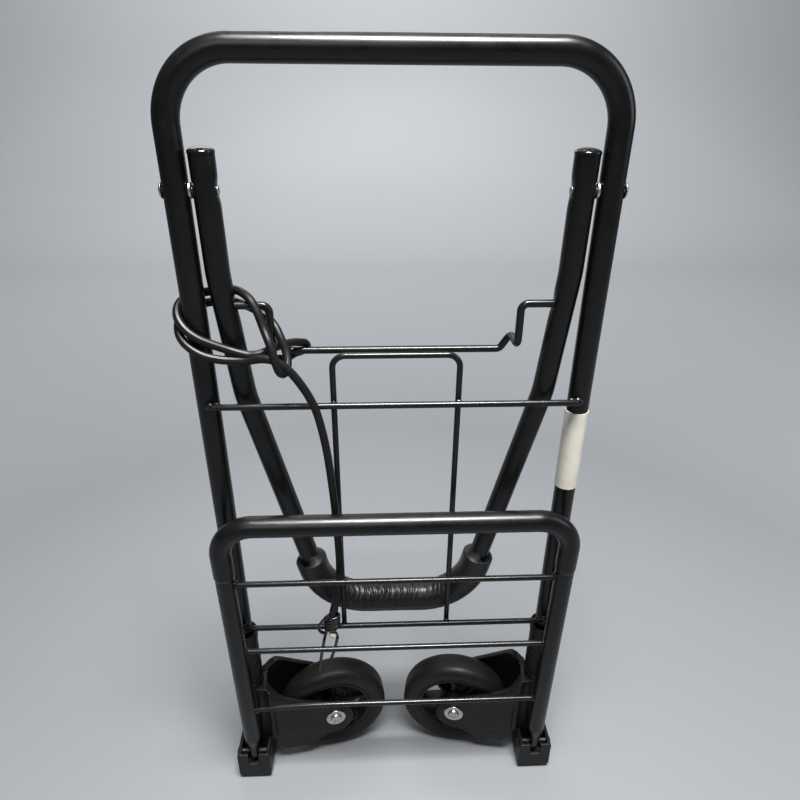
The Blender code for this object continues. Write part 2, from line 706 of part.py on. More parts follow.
def tyre(name, axis):
    """Wide rubber tyre with rounded shoulders."""
    profile = [
        (RIM_RADIUS + GAP, 12.5 * MM), (46 * MM, 14.4 * MM), (53.5 * MM, WHEEL_HALF_WIDTH),
        (57.5 * MM, 12.8 * MM), (59.5 * MM, 9 * MM), (WHEEL_RADIUS, 3 * MM)]
    outline = profile + [(radius, -height) for radius, height in reversed(profile)]
    frame = Matrix.Rotation(math.pi / 2, 4, "X")
    finish(turned(f"tyre_{name}", outline, True, 36, frame), RUBBER, axis)


def hub_window(index):
    """One opening between two spokes of the wheel."""
    inner, outer = HUB_RADIUS + 2.5 * MM, RIM_RADIUS - 4.5 * MM
    half = math.pi / SPOKES
    middle = 2 * half * (index + 0.5)

    def corner(radius, sign):
        swing = half - math.asin(SPOKE_HALF_WIDTH / radius)
        return math.degrees(middle + sign * swing)

    outside = arc(0, 0, outer, corner(outer, -1), corner(outer, 1), 4)
    inside = arc(0, 0, inner, corner(inner, 1), corner(inner, -1), 2)
    return outside + inside


def wheel_hub(name, axis):
    """Moulded wheel centre: rim, spokes and boss."""
    disc_outline = arc(0, 0, RIM_RADIUS - 2 * MM, 0, 360 - 360 / 30, 29)
    bore = arc(0, 0, BUSH_RADIUS + GAP, 0, 360 - 360 / 16, 15)
    windows = [hub_window(index) for index in range(SPOKES)]
    hub = plate(
        f"wheel_hub_{name}", [disc_outline, bore, *windows], -WEB_HALF_THICKNESS, WEB_HALF_THICKNESS)
    turn = Matrix.Rotation(math.pi / 2, 4, "X")
    rim = ring(
        f"rim_{name}", RIM_RADIUS, RIM_RADIUS - 4 * MM, -RIM_HALF_WIDTH, RIM_HALF_WIDTH, 36, turn)
    boss = ring(
        f"boss_{name}", HUB_RADIUS, BUSH_RADIUS + GAP, -HUB_HALF_LENGTH, HUB_HALF_LENGTH, 16, turn)
    for tool in (rim, boss):
        tool.parent = axis
        boolean(hub, tool, "UNION")
    finish(hub, MATT_PLASTIC, axis)


def wheel_sides():
    for name, side in SIDES.items():
        turn = (0, 0, -side * FOLDED_ANGLE)
        pivot = axis_empty(f"bracket_axis_{name}", (side * LEG_X, 0, 0), turn)
        wheel_bracket(name, side, pivot)
        axle(name, side, pivot)
        spin = axis_empty(f"wheel_axis_{name}", (-side * WHEEL_REACH, 0, WHEEL_Z), parent=pivot)
        tyre(name, spin)
        wheel_hub(name, spin)


def elastic_cord():
    """Front part of the cord: round the left leg, past the bail and down to its hook."""
    points = millimetres([
        (-174.2, 5, 546), (-173.8, -6, 541), (-168, -13.4, 534), (-156, -14.5, 527), (-138, -13, 521.5),
        (-118, -12.5, 519), (-103, -13.5, 516), (-91, -16, 505), (-78, -18, 490), (-66, -19.3, 465),
        (-59, -19.3, 415), (-55, -19.3, 350), (-54, -19.3, 300), (-59, -19.5, 262), (-65, -20, 238)])
    rod("bungee_cord", points, CORD_RADIUS, CORD)


def cord_hook():
    """Coiled ferrule on the end of the cord, and the wire hook that it holds."""
    top, bottom = Vector((-66, -20.2, 232.5)) * MM, Vector((-67.5, -20.2, 215)) * MM
    rod("cord_ferrule", [top, bottom], FERRULE_RADIUS, ZINC)
    points = millimetres([
        (-80.5, -20.5, 147), (-74.5, -20.5, 186), (-70, -20.5, 209), (-67, -20.5, 212), (-64.5, -20.5, 207),
        (-63.5, -20.5, 190), (-66, -20.5, 166), (-70.5, -20.5, 158)])
    rod("cord_hook", points, HOOK_RADIUS, WIRE_STEEL)


def wrap_label():
    """Blank sticker round the right leg."""
    label = ring(
        "wrap_label", TUBE_RADIUS + 0.7 * MM, TUBE_RADIUS + GAP, 375 * MM, 454 * MM, 20,
        Matrix.Translation((LEG_X, 0, 0)))
    finish(label, PAPER)


clear_scene()
PARTS = new_collection("folding_luggage_cart")
TOOLS = new_collection("tools")

BLACK_STEEL = new_material("black_powder_coat", (0.013, 0.013, 0.015), 0.38, 0.0)
WIRE_STEEL = new_material("black_wire", (0.012, 0.012, 0.013), 0.25, 0.0)
MATT_PLASTIC = new_material("matt_black_plastic", (0.016, 0.016, 0.017), 0.55, 0.0)
GLOSS_PLASTIC = new_material("gloss_black_plastic", (0.01, 0.01, 0.011), 0.2, 0.0)
RUBBER = new_material("tyre_rubber", (0.035, 0.032, 0.03), 0.7, 0.0)
FOAM = new_material("grip_foam", (0.02, 0.019, 0.019), 0.75, 0.0)
ZINC = new_material("zinc_plate", (0.62, 0.61, 0.58), 0.3, 1.0)
CORD = new_material("cord_sheath", (0.018, 0.018, 0.02), 0.45, 0.0)
PAPER = new_material("label_paper", (0.78, 0.75, 0.66), 0.6, 0.0)

HANDLE_AXIS = axis_empty("handle_axis", (0, 0, PIVOT_Z), (HANDLE_LEAN, 0, 0))
BAIL_AXIS = axis_empty("bail_axis", (0, 0, -BAIL_BELOW_PIVOT), (-HANDLE_LEAN, 0, 0), HANDLE_AXIS)
TOE_AXIS = axis_empty("toe_axis", TOE_PIVOT, (TOE_LEAN, 0, 0))

main_frame()
frame_wires()
handle(HANDLE_AXIS)
handle_grip(HANDLE_AXIS)
handle_caps(HANDLE_AXIS)
handle_pivots()
lock_bail(BAIL_AXIS)
toe_bow(TOE_AXIS)
toe_legs(TOE_AXIS)
toe_wires(TOE_AXIS)
toe_pins()
feet()
leg_collars()
wheel_sides()
elastic_cord()
cord_hook()
wrap_label()
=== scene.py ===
"""Looks of the folding luggage cart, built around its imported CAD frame.

The cart stands folded on its feet: +Z is up, the folded platform faces -Y. Shapes are modelled in
millimetres, and place() scales them to metres. Every piece stands for a CAD node and rides on its
body; weld beads and the cord's cut end are added.
"""

import json
import math

import bmesh
import bpy
import numpy as np
from mathutils import Matrix, Vector, noise


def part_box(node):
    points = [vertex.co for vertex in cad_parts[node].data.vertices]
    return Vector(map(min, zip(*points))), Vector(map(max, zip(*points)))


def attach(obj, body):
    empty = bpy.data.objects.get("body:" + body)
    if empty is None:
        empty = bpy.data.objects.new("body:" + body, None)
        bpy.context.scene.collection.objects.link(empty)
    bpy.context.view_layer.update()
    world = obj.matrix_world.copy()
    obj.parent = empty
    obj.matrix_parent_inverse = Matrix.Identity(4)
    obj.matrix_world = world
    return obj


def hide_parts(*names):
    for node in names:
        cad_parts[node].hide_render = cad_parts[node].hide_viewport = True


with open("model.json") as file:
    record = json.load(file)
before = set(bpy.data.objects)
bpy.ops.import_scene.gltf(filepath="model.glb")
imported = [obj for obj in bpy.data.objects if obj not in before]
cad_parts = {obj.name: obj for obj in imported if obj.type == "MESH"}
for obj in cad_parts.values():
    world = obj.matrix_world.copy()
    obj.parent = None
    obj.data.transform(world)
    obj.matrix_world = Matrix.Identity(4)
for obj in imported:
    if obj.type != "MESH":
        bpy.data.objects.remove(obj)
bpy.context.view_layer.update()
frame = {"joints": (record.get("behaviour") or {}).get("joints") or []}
JOINTS = {joint["name"]: joint for joint in frame["joints"]}

MM = 0.001
SIDES = {"left": -1, "right": 1}
BACK = Vector((0, 1, 0))


def box(node):
    """Lower and upper corner of a CAD node, in millimetres."""
    return [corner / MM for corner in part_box(node)]


def centre_of(node):
    low, high = box(node)
    return (low + high) / 2


def pivot_of(joint):
    return Vector(JOINTS[joint]["pos_m"]) / MM


def move(x=0.0, y=0.0, z=0.0):
    return Matrix.Translation((x, y, z))


def turn(degrees, axis):
    return Matrix.Rotation(math.radians(degrees), 4, axis)


# Places, from the frame
LEG_X = abs(pivot_of("bracket_left_swing").x)
PIVOT = pivot_of("handle_fold")
BAIL_PIVOT = pivot_of("bail_swing")
TOE_PIVOT = pivot_of("platform_fold")
BAIL_DROP = (PIVOT - BAIL_PIVOT).length
HANDLE_LEAN = math.degrees(math.atan2(BAIL_PIVOT.y - PIVOT.y, PIVOT.z - BAIL_PIVOT.z))
TOE_LEAN = 1.85
HANDLE_FRAME = move(*PIVOT) @ turn(HANDLE_LEAN, "X")
TOE_FRAME = move(*TOE_PIVOT) @ turn(TOE_LEAN, "X")
ARM_X = centre_of("handle_cap_right").x

# Tubes and wires
TUBE_R = 9.5
TUBE_WALL = 1.2
FRAME_CORNER = 48
TOE_BOW_R = 9.8
TOE_LEG_R = 9.0
TOE_CORNER = 32
TOE_BAR = 326
TOE_SEAM = 267
WIRE_R = 2.8
RACK_R = 2.6
RACK_CORNER = 11
BAIL_R = 3.2
CORD_R = 3.5

# Bends of the right arm, in the handle's frame
ARM_TOP = 25
UPPER_BEND = (ARM_X, 0, -63)
LOWER_BEND = (ARM_X - 9.3, 0, -168)
BOW_CORNER = (72.4, 0, -412.5)
HANDLE_RADII = [120, 90, 58]
GRIP_R = 15.6
GRIP_BORE = 10.4
GRIP_TOP = -356

# Wheels, in the frame of their bracket
FOLDED_ANGLE = 10
WHEEL_R = 60
WHEEL_REACH = 89.6
WHEEL_Z = pivot_of("wheel_left_spin").z
RIM_R = 42
SPOKES = 5
ARM_INNER = 17
ARM_OUTER = 20.5
PANEL = 21.7
AXLE_R = 3.9
BUSH_R = 6.4


# ---- mesh tools


def new_object(name, data):
    obj = bpy.data.objects.new(name, data)
    bpy.context.scene.collection.objects.link(obj)
    return obj


def object_from(work, name):
    """An object from a bmesh, which it frees."""
    mesh = bpy.data.meshes.new(name)
    work.to_mesh(mesh)
    work.free()
    return new_object(name, mesh)


def faces_out(mesh, merge=0.0):
    """Welds points that coincide and turns every face outwards."""
    work = bmesh.new()
    work.from_mesh(mesh)
    if merge:
        bmesh.ops.remove_doubles(work, verts=work.verts, dist=merge)
    bmesh.ops.recalc_face_normals(work, faces=work.faces)
    work.to_mesh(mesh)
    work.free()


def smooth(obj, angle=38):
    obj.data.shade_smooth()
    obj.data.set_sharp_from_angle(angle=math.radians(angle))
    return obj


def grid_object(name, rings, wrap_rows=False, caps=True, lengths=None):
    """An object from rings of points, an array of (rows, points in a ring, 3).

    With the distance along the path to each ring, it also gets UVs, along and round the path."""
    rows, sides = rings.shape[:2]
    index = np.arange(rows * sides).reshape(rows, sides)
    here, there = (index, np.roll(index, -1, 0)) if wrap_rows else (index[:-1], index[1:])
    quads = np.stack([here, np.roll(here, -1, 1), np.roll(there, -1, 1), there], -1).reshape(-1, 4)
    faces = quads.tolist()
    if caps and not wrap_rows:
        faces += [index[0][::-1].tolist(), index[-1].tolist()]
    mesh = bpy.data.meshes.new(name)
    mesh.from_pydata(rings.reshape(-1, 3).tolist(), [], faces)
    if lengths is not None:
        row, column = np.divmod(np.arange(len(quads)), sides)
        corners = np.zeros((len(quads), 4, 2))
        corners[:, :2, 0] = lengths[row][:, None] * MM
        corners[:, 2:, 0] = lengths[row + 1][:, None] * MM
        corners[:, (0, 3), 1] = (column / sides)[:, None]
        corners[:, (1, 2), 1] = ((column + 1) / sides)[:, None]
        flat = np.zeros(len(mesh.loops) * 2)
        flat[: corners.size] = corners.ravel()
        mesh.uv_layers.new(name="along").data.foreach_set("uv", flat)
    faces_out(mesh)
    return smooth(new_object(name, mesh))


def lengths_along(points):
    """Distance along a path to each of its points."""
    steps = np.linalg.norm(np.diff(points, axis=0), axis=1)
    return np.concatenate([[0], np.cumsum(steps)])


def resample(points, spacing):
    """The same path with evenly spaced points."""
    points = np.array([tuple(p) for p in points])
    reached = lengths_along(points)
    wanted = np.linspace(0, reached[-1], max(2, math.ceil(reached[-1] / spacing)) + 1)
    return np.stack([np.interp(wanted, reached, points[:, k]) for k in range(3)], 1)


def spline(points, spacing):
    """A smooth path through points (Catmull-Rom), evenly spaced."""
    p = np.array(points, float)
    p = np.vstack([2 * p[0] - p[1], p, 2 * p[-1] - p[-2]])
    t = np.linspace(0, 1, 14, endpoint=False)[:, None]
    out = []
    for a, b, c, d in zip(p, p[1:], p[2:], p[3:]):
        cubic = (3 * b - a - 3 * c + d) * t**3
        out.append(0.5 * (2 * b + (c - a) * t + (2 * a - 5 * b + 4 * c - d) * t**2 + cubic))
    return resample(np.vstack([*out, p[-2:-1]]), spacing)


def fillet(corner, before, after, radius, steps):
    """The arc of points that rounds one corner of a path."""
    to_before = (before - corner).normalized()
    to_after = (after - corner).normalized()
    half = to_before.angle(to_after) / 2
    start = corner + to_before * radius / math.tan(half)
    centre = corner + (to_before + to_after).normalized() * radius / math.sin(half)
    axis = to_after.cross(to_before).normalized()
    bend = math.pi - 2 * half
    return [
        centre + Matrix.Rotation(bend * i / steps, 3, axis) @ (start - centre)
        for i in range(steps + 1)]


def rounded_path(points, radii, step_angle):
    """A path through points, with each inner corner rounded to its radius."""
    points = [Vector(point) for point in points]
    path = [points[0]]
    for before, corner, after, radius in zip(points, points[1:], points[2:], radii):
        bend = 180 - math.degrees((before - corner).angle(after - corner))
        path += fillet(corner, before, after, radius, max(2, round(bend / step_angle)))
    return path + [points[-1]]


def two_sided_path(half, radii, step_angle):
    """A rounded path through points on one side, and back through their mirror images."""
    return rounded_path(half + [(-x, y, z) for x, y, z in reversed(half)], radii, step_angle)


def arch(half_width, y, low, high, corner, step_angle):
    """Path of an upside-down U."""
    half = [(-half_width, y, low), (-half_width, y, high)]
    return two_sided_path(half, [corner] * 2, step_angle)


def rounded_outline(points, radius, steps=4):
    """A closed 2D outline with its corners rounded, each by at most 0.45 of its shorter edge."""
    corners = [Vector((x, z, 0)) for x, z in points]
    out = []
    for i, corner in enumerate(corners):
        before, after = corners[i - 1], corners[(i + 1) % len(corners)]
        half = (before - corner).angle(after - corner) / 2
        if half > math.radians(84):
            out.append(corner)
            continue
        reach = 0.45 * min((before - corner).length, (after - corner).length)
        out += fillet(corner, before, after, min(radius, reach * math.tan(half)), steps)
    return [(p.x, p.y) for p in out]


def rectangle(x_low, y_low, x_high, y_high):
    return [(x_low, y_low), (x_high, y_low), (x_high, y_high), (x_low, y_high)]


def arc(centre_x, centre_z, radius, start, end, steps):
    angles = [math.radians(start + (end - start) * i / steps) for i in range(steps + 1)]
    return [(centre_x + radius * math.cos(a), centre_z + radius * math.sin(a)) for a in angles]


def path_sides(points, across):
    """Two unit vectors square to the path at each of its points."""
    tangents = np.gradient(points, axis=0)
    tangents /= np.linalg.norm(tangents, axis=1)[:, None]
    guide = np.array(across if across is not None else Vector(tangents[0]).orthogonal(), float)
    first = np.zeros_like(points)
    for i, tangent in enumerate(tangents):
        square = guide - tangent * (guide @ tangent)
        first[i] = square / np.linalg.norm(square)
        if across is None:
            guide = first[i]
    return first, np.cross(tangents, first)


def ring_rows(points, radius, sides, across=None, relief=None):
    """Rings round a path. Angle 0 faces across; relief(length, angle) is added to the radius."""
    first, second = path_sides(points, across)
    angle = np.linspace(0, 2 * math.pi, sides, endpoint=False)[None, :]
    reach = np.broadcast_to(np.reshape(radius, (-1, 1)), (len(points), 1))
    if relief is not None:
        reach = reach + relief(lengths_along(points)[:, None], angle)
    x, y = reach * np.cos(angle), reach * np.sin(angle)
    return points[:, None] + x[..., None] * first[:, None] + y[..., None] * second[:, None]


def sweep(name, path, radius, sides, across=None, relief=None, tips=False):
    """A closed skin round a path. tips rounds its two ends."""
    points = np.array([tuple(p) for p in path])
    radii = np.full(len(points), float(radius))
    if tips:
        lift = np.linspace(0.03, 1, 5)[:-1] * math.pi / 2
        start, end = (points[1] - points[0]), (points[-2] - points[-1])
        start, end = start / np.linalg.norm(start), end / np.linalg.norm(end)
        near = points[0] + np.outer(1 - np.cos(lift), start) * radius
        far = points[-1] + np.outer(1 - np.cos(lift), end) * radius
        inner = (points[0] + start * radius, points[-1] + end * radius)
        points = np.vstack([near, inner[0], points[1:-1], inner[1], far[::-1]])
        small = np.sin(lift) * radius
        radii = np.concatenate([small, radii, small[::-1]])
    rings = ring_rows(points, radii, sides, across, relief)
    return grid_object(name, rings, lengths=lengths_along(points))


def turned(name, profile, steps=72, matrix=Matrix(), closed=False, rounding=0.3):
    """A shape turned about Z from (radius, height) points; closed makes a ring."""
    if closed:
        profile = rounded_outline(profile, rounding, 3)
    else:
        path = [Vector((r, 0, z)) for r, z in profile]
        radii = []
        for before, corner, after in zip(path, path[1:], path[2:]):
            half = (before - corner).angle(after - corner) / 2
            reach = 0.45 * min((before - corner).length, (after - corner).length)
            radii.append(min(rounding, reach * math.tan(min(half, 1.5))))
        profile = [(p.x, p.z) for p in rounded_path(path, radii, 22)]
    angle = np.linspace(0, 2 * math.pi, steps, endpoint=False)
    r, z = [np.array(values)[:, None] for values in zip(*profile)]
    rings = np.stack([r * np.cos(angle), r * np.sin(angle), z + 0 * angle], -1)
    obj = grid_object(name, rings, wrap_rows=closed, caps=False)
    faces_out(obj.data, 1e-4)
    obj.data.transform(matrix)
    return smooth(obj)


def to_mesh(obj):
    """Replaces an object by the mesh that its curve or modifiers give."""
    bpy.context.view_layer.update()
    graph = bpy.context.evaluated_depsgraph_get()
    mesh = bpy.data.meshes.new_from_object(obj.evaluated_get(graph))
    name = obj.name
    bpy.data.objects.remove(obj)
    return new_object(name, mesh)


def slab(name, outlines, low, high, bevel=0.0):
    """A solid between two Z values. The first outline is its rim and the others are its holes."""
    curve = bpy.data.curves.new(name, "CURVE")
    curve.dimensions = "2D"
    curve.fill_mode = "BOTH"
    curve.extrude = (high - low) / 2 - bevel
    curve.bevel_depth = bevel
    curve.bevel_resolution = 2
    curve.offset = -bevel
    for outline in outlines:
        line = curve.splines.new("POLY")
        line.points.add(len(outline) - 1)
        line.use_cyclic_u = True
        for point, (x, y) in zip(line.points, outline):
            point.co = (x, y, 0, 1)
    obj = to_mesh(new_object(name, curve))
    faces_out(obj.data, 1e-3)
    obj.data.transform(move(z=(low + high) / 2))
    return smooth(obj)


def plate(name, outlines, low, high, bevel=0.0):
    """A plate in the XZ plane, between two Y values."""
    obj = slab(name, outlines, -high, -low, bevel)
    obj.data.transform(turn(90, "X"))
    return obj


def block(name, low, high):
    work = bmesh.new()
    bmesh.ops.create_cube(work, size=1)
    low, high = Vector(low), Vector(high)
    bmesh.ops.scale(work, vec=high - low, verts=work.verts)
    bmesh.ops.translate(work, vec=(low + high) / 2, verts=work.verts)
    return object_from(work, name)


def modify(obj, kind, **settings):
    modifier = obj.modifiers.new(kind, kind)
    for key, value in settings.items():
        setattr(modifier, key, value)


def combine(target, tools, operation):
    """Applies one Boolean for each tool, and removes the tools."""
    for tool in tools:
        modify(target, "BOOLEAN", operation=operation, object=tool)
    target = to_mesh(target)
    for tool in tools:
        bpy.data.objects.remove(tool)
    return target


def moulded(obj, voxel, passes):
    """Gives a sharp-edged solid the small, even edge and corner radii of a moulding."""
    modify(obj, "REMESH", mode="VOXEL", voxel_size=voxel, use_smooth_shade=True)
    modify(obj, "SMOOTH", factor=0.5, iterations=passes)
    modify(obj, "DECIMATE", ratio=0.22)
    obj = to_mesh(obj)
    faces_out(obj.data)
    obj.data.shade_smooth()
    return obj


def even_shading(obj):
    """Keeps large faces flat-looking, and shades only the small radii between them."""
    modify(obj, "WEIGHTED_NORMAL", weight=90)
    return to_mesh(obj)


def joined(name, objects):
    """One object from several."""
    work = bmesh.new()
    for obj in objects:
        work.from_mesh(obj.data)
        bpy.data.objects.remove(obj)
    return smooth(object_from(work, name))


def mirrored(obj, name):
    """A copy on the other side of the YZ plane."""
    mesh = obj.data.copy()
    mesh.transform(Matrix.Diagonal((-1, 1, 1, 1)))
    mesh.flip_normals()
    return new_object(name, mesh)


def lump(name, centre, size, seed):
    """A small uneven bead, such as a weld."""
    work = bmesh.new()
    bmesh.ops.create_icosphere(work, subdivisions=3, radius=1)
    for vertex in work.verts:
        point = vertex.co.copy()
        push = 1 + 0.22 * noise.noise(point * 1.7 + Vector((seed, 0.3 * seed, 2)))
        vertex.co = Vector(centre) + Vector([c * s * push for c, s in zip(point, size)])
    return smooth(object_from(work, name), 60)


def place(obj, finish, body, *nodes, matrix=Matrix()):
    """Moves a piece, scales it to metres, gives it the material of its finish and its body, and hides the CAD
    nodes that it stands for.
    """
    material, slot = finish
    obj.data.transform(Matrix.Scale(MM, 4) @ matrix)
    obj.data.materials.clear()
    obj.data.materials.append(material)
    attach(obj, body)
    if nodes:
        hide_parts(*nodes)


# ---- materials


def plug(tree, socket, value):
    """Sets a socket to a number or a colour, or links another node's output to it."""
    if isinstance(value, bpy.types.NodeSocket):
        tree.links.new(value, socket)
    else:
        socket.default_value = value


def put(tree, kind, inputs=None, **settings):
    """Adds a shader node with its settings and inputs."""
    node = tree.nodes.new("ShaderNode" + kind)
    for key, value in settings.items():
        setattr(node, key, value)
    for key, value in (inputs or {}).items():
        plug(tree, node.inputs[key], value)
    return node


def grey(value, warm=0.0):
    return (value * (1 + warm), value, value * (1 - warm), 1)


def lighter(colour, times):
    return [value * times for value in colour[:3]] + [1]


def new_shader(name):
    """A new material, its node tree, and the object's own coordinates."""
    material = bpy.data.materials.new(name)
    material.use_nodes = True
    tree = material.node_tree
    return material, tree, put(tree, "TexCoord").outputs["Object"]


def finished(material, inputs):
    """The material with these inputs on its shader."""
    tree = material.node_tree
    for key, value in inputs.items():
        plug(tree, tree.nodes["Principled BSDF"].inputs[key], value)
    return material


def ramp(tree, factor, low, high, start=0.3, end=0.7):
    """Maps a factor to a number between low and high."""
    return put(tree, "MapRange", {
        "Value": factor, "From Min": start, "From Max": end, "To Min": low, "To Max": high}).outputs[0]


def mix_colour(tree, factor, first, second, *span):
    """The first colour where the factor is low, the second where it is high, between two ends."""
    mix = ramp(tree, factor, 0, 1, *span) if span else factor
    return put(tree, "Mix", {0: mix, 6: first, 7: second}, data_type="RGBA").outputs[2]


def noise_of(tree, vector, scale, detail, roughness):
    inputs = {"Vector": vector, "Scale": scale, "Detail": detail, "Roughness": roughness}
    return put(tree, "TexNoise", inputs).outputs[0]


def cells_of(tree, vector, scale):
    return put(tree, "TexVoronoi", {"Vector": vector, "Scale": scale}).outputs["Distance"]


def bump_of(tree, height, strength, depth, **normal):
    """The normal of a bumpy surface; depth is in millimetres."""
    inputs = {"Height": height, "Strength": strength, "Distance": depth * MM, **normal}
    return put(tree, "Bump", inputs).outputs[0]


def multiply(tree, first, second):
    return put(tree, "Math", {0: first, 1: second}, operation="MULTIPLY").outputs[0]


def dust_mask(tree, vector, amount):
    """How dusty a point is: more on faces that look up, in uneven patches."""
    normal = put(tree, "NewGeometry").outputs["Normal"]
    up = put(tree, "SeparateXYZ", {"Vector": normal}).outputs["Z"]
    patches = ramp(tree, noise_of(tree, vector, 38, 5, 0.62), 0, 1, 0.42, 0.72)
    upward = ramp(tree, up, 0.15, 1, 0.1, 0.95)
    return multiply(tree, multiply(tree, patches, upward), amount)


def coated_surface(name, colour, roughness, grain, depth, dust, wear, gleam):
    """Paint or moulded plastic: fine surface texture, uneven gloss, light dust, and worn edges."""
    material, tree, vector = new_shader(name)
    cloud = noise_of(tree, vector, 55, 4, 0.6)
    base = mix_colour(tree, cloud, colour, lighter(colour, 1.35), 0.3, 0.7)
    base = mix_colour(tree, dust_mask(tree, vector, dust), base, grey(0.12, 0.05))
    if wear:
        edge = put(tree, "NewGeometry").outputs["Pointiness"]
        base = mix_colour(tree, ramp(tree, edge, 0, wear, 0.53, 0.60), base, grey(0.11))
    coarse = bump_of(tree, noise_of(tree, vector, grain / 7, 2, 0.5), 0.10, depth * 3)
    fine = noise_of(tree, vector, grain, 2, 0.55)
    return finished(material, {
        "Base Color": base, "Specular IOR Level": gleam,
        "Roughness": ramp(tree, cloud, roughness - 0.05, roughness + 0.07),
        "Normal": bump_of(tree, fine, 0.35, depth, Normal=coarse)})


def rubber_surface(name, colour, roughness, dust):
    """Tyre rubber: dull, faintly grained, dusty where it meets the floor."""
    material, tree, vector = new_shader(name)
    cloud = noise_of(tree, vector, 28, 6, 0.62)
    base = mix_colour(tree, cloud, colour, lighter(colour, 1.6), 0.35, 0.68)
    specks = ramp(tree, noise_of(tree, vector, 420, 2, 0.5), 0, dust, 0.60, 0.78)
    return finished(material, {
        "Base Color": mix_colour(tree, specks, base, grey(0.20, 0.06)), "Specular IOR Level": 0.3,
        "Roughness": ramp(tree, cloud, roughness - 0.08, roughness + 0.08),
        "Normal": bump_of(tree, noise_of(tree, vector, 1500, 3, 0.6), 0.4, 0.12)})


def foam_surface():
    """Closed-cell foam with a thin skin: soft sheen and tiny pores."""
    material, tree, vector = new_shader("grip_foam")
    cloud = noise_of(tree, vector, 70, 5, 0.6)
    return finished(material, {
        "Base Color": mix_colour(tree, cloud, grey(0.006), grey(0.012, 0.05), 0.35, 0.68),
        "Roughness": ramp(tree, cloud, 0.32, 0.46), "Sheen Weight": 0.06, "Sheen Roughness": 0.45,
        "Normal": bump_of(tree, cells_of(tree, vector, 1300), 0.35, 0.12)})


def zinc_surface():
    """Bright zinc plate: a cloudy metal with fine turning marks."""
    material, tree, vector = new_shader("zinc_plate")
    cloud = noise_of(tree, vector, 240, 5, 0.65)
    bright, dull = (0.58, 0.57, 0.54, 1), (0.40, 0.38, 0.36, 1)
    return finished(material, {
        "Base Color": mix_colour(tree, cloud, bright, dull, 0.35, 0.7),
        "Roughness": ramp(tree, cloud, 0.22, 0.42), "Metallic": 1,
        "Normal": bump_of(tree, noise_of(tree, vector, 2600, 2, 0.5), 0.25, 0.05)})


def cord_surface():
    """Tightly braided sheath: two sets of strands wound in opposite senses."""
    material, tree, _ = new_shader("cord_sheath")
    split = put(tree, "SeparateXYZ", {"Vector": put(tree, "UVMap", uv_map="along").outputs[0]})
    along = multiply(tree, split.outputs["X"], 2.5 * 2 * math.pi / (7 * MM))
    around = multiply(tree, split.outputs["Y"], 2 * math.pi * 8)
    waves = []
    for sense in ("ADD", "SUBTRACT"):
        angle = put(tree, "Math", {0: along, 1: around}, operation=sense).outputs[0]
        waves.append(put(tree, "Math", {0: angle}, operation="SINE").outputs[0])
    weave = multiply(tree, *waves)
    shade = ramp(tree, weave, 0, 1, -1, 1)
    return finished(material, {
        "Base Color": mix_colour(tree, shade, grey(0.006), grey(0.013)),
        "Roughness": ramp(tree, weave, 0.42, 0.34, -1, 1), "Specular IOR Level": 0.28,
        "Normal": bump_of(tree, shade, 0.3, 0.05)})


def frayed_surface():
    """Cut end of the cord: pale rubber threads."""
    material, tree, vector = new_shader("cord_core")
    threads = cells_of(tree, vector, 1600)
    pale, deep = (0.88, 0.86, 0.74, 1), (0.60, 0.57, 0.44, 1)
    return finished(material, {
        "Base Color": mix_colour(tree, threads, pale, deep, 0.1, 0.6),
        "Roughness": 0.7, "Normal": bump_of(tree, threads, 0.8, 0.3)})


def label_surface():
    """Blank plastic film: slightly yellowed and clouded, with faint creases."""
    material, tree, vector = new_shader("label_film")
    cloud = noise_of(tree, vector, 60, 5, 0.6)
    creases = noise_of(tree, vector, 190, 3, 0.7)
    pale, yellow = (0.66, 0.64, 0.57, 1), (0.58, 0.55, 0.48, 1)
    return finished(material, {
        "Base Color": mix_colour(tree, cloud, pale, yellow, 0.35, 0.7),
        "Roughness": ramp(tree, creases, 0.34, 0.5), "Normal": bump_of(tree, creases, 0.25, 0.3)})


def dark_steel_surface(name, coat, dullest):
    """Dark plated steel, slightly rubbed: springy wire is glossy, the pins are duller."""
    material, tree, vector = new_shader(name)
    cloud = noise_of(tree, vector, 300, 4, 0.6)
    plated, rubbed = (0.008, 0.008, 0.009, 1), (0.020, 0.019, 0.018, 1)
    return finished(material, {
        "Base Color": mix_colour(tree, cloud, plated, rubbed, 0.4, 0.7),
        "Roughness": ramp(tree, cloud, dullest - 0.1, dullest), "Metallic": 0.15,
        "Coat Weight": coat, "Coat Roughness": 0.08})


# Each finish is a material and the slot it fills
POWDER_COAT = (
    coated_surface("powder_coat", grey(0.003, -0.02), 0.31, 900, 0.015, 0.05, 0, 0.45), "powder_coat")
WIRE_COAT = coated_surface("wire_coat", grey(0.006, -0.02), 0.24, 700, 0.005, 0.05, 0, 0.48), "coated_wire"
MATT_PLASTIC = (
    coated_surface("matt_plastic", grey(0.005, -0.01), 0.42, 2200, 0.05, 0.10, 0.35, 0.32), "matt_plastic")
GLOSS_PLASTIC = (
    coated_surface("gloss_plastic", grey(0.006, -0.01), 0.15, 500, 0.02, 0.06, 0, 0.5), "gloss_plastic")
TYRE_RUBBER = rubber_surface("tyre_rubber", grey(0.010, 0.08), 0.48, 0.06), "tyre_rubber"
FOOT_RUBBER = rubber_surface("foot_rubber", grey(0.022, 0.02), 0.58, 0.2), "foot_rubber"
FOAM = foam_surface(), "grip_foam"
ZINC = zinc_surface(), "zinc_plate"
CORD = cord_surface(), "cord_sheath"
CORE = frayed_surface(), "cord_sheath"
LABEL = label_surface(), "label_paper"
DARK_STEEL = dark_steel_surface("dark_steel", 0.5, 0.26), "dark_steel"
PIN_STEEL = dark_steel_surface("pin_steel", 0.0, 0.5), "dark_steel"


# ---- main frame


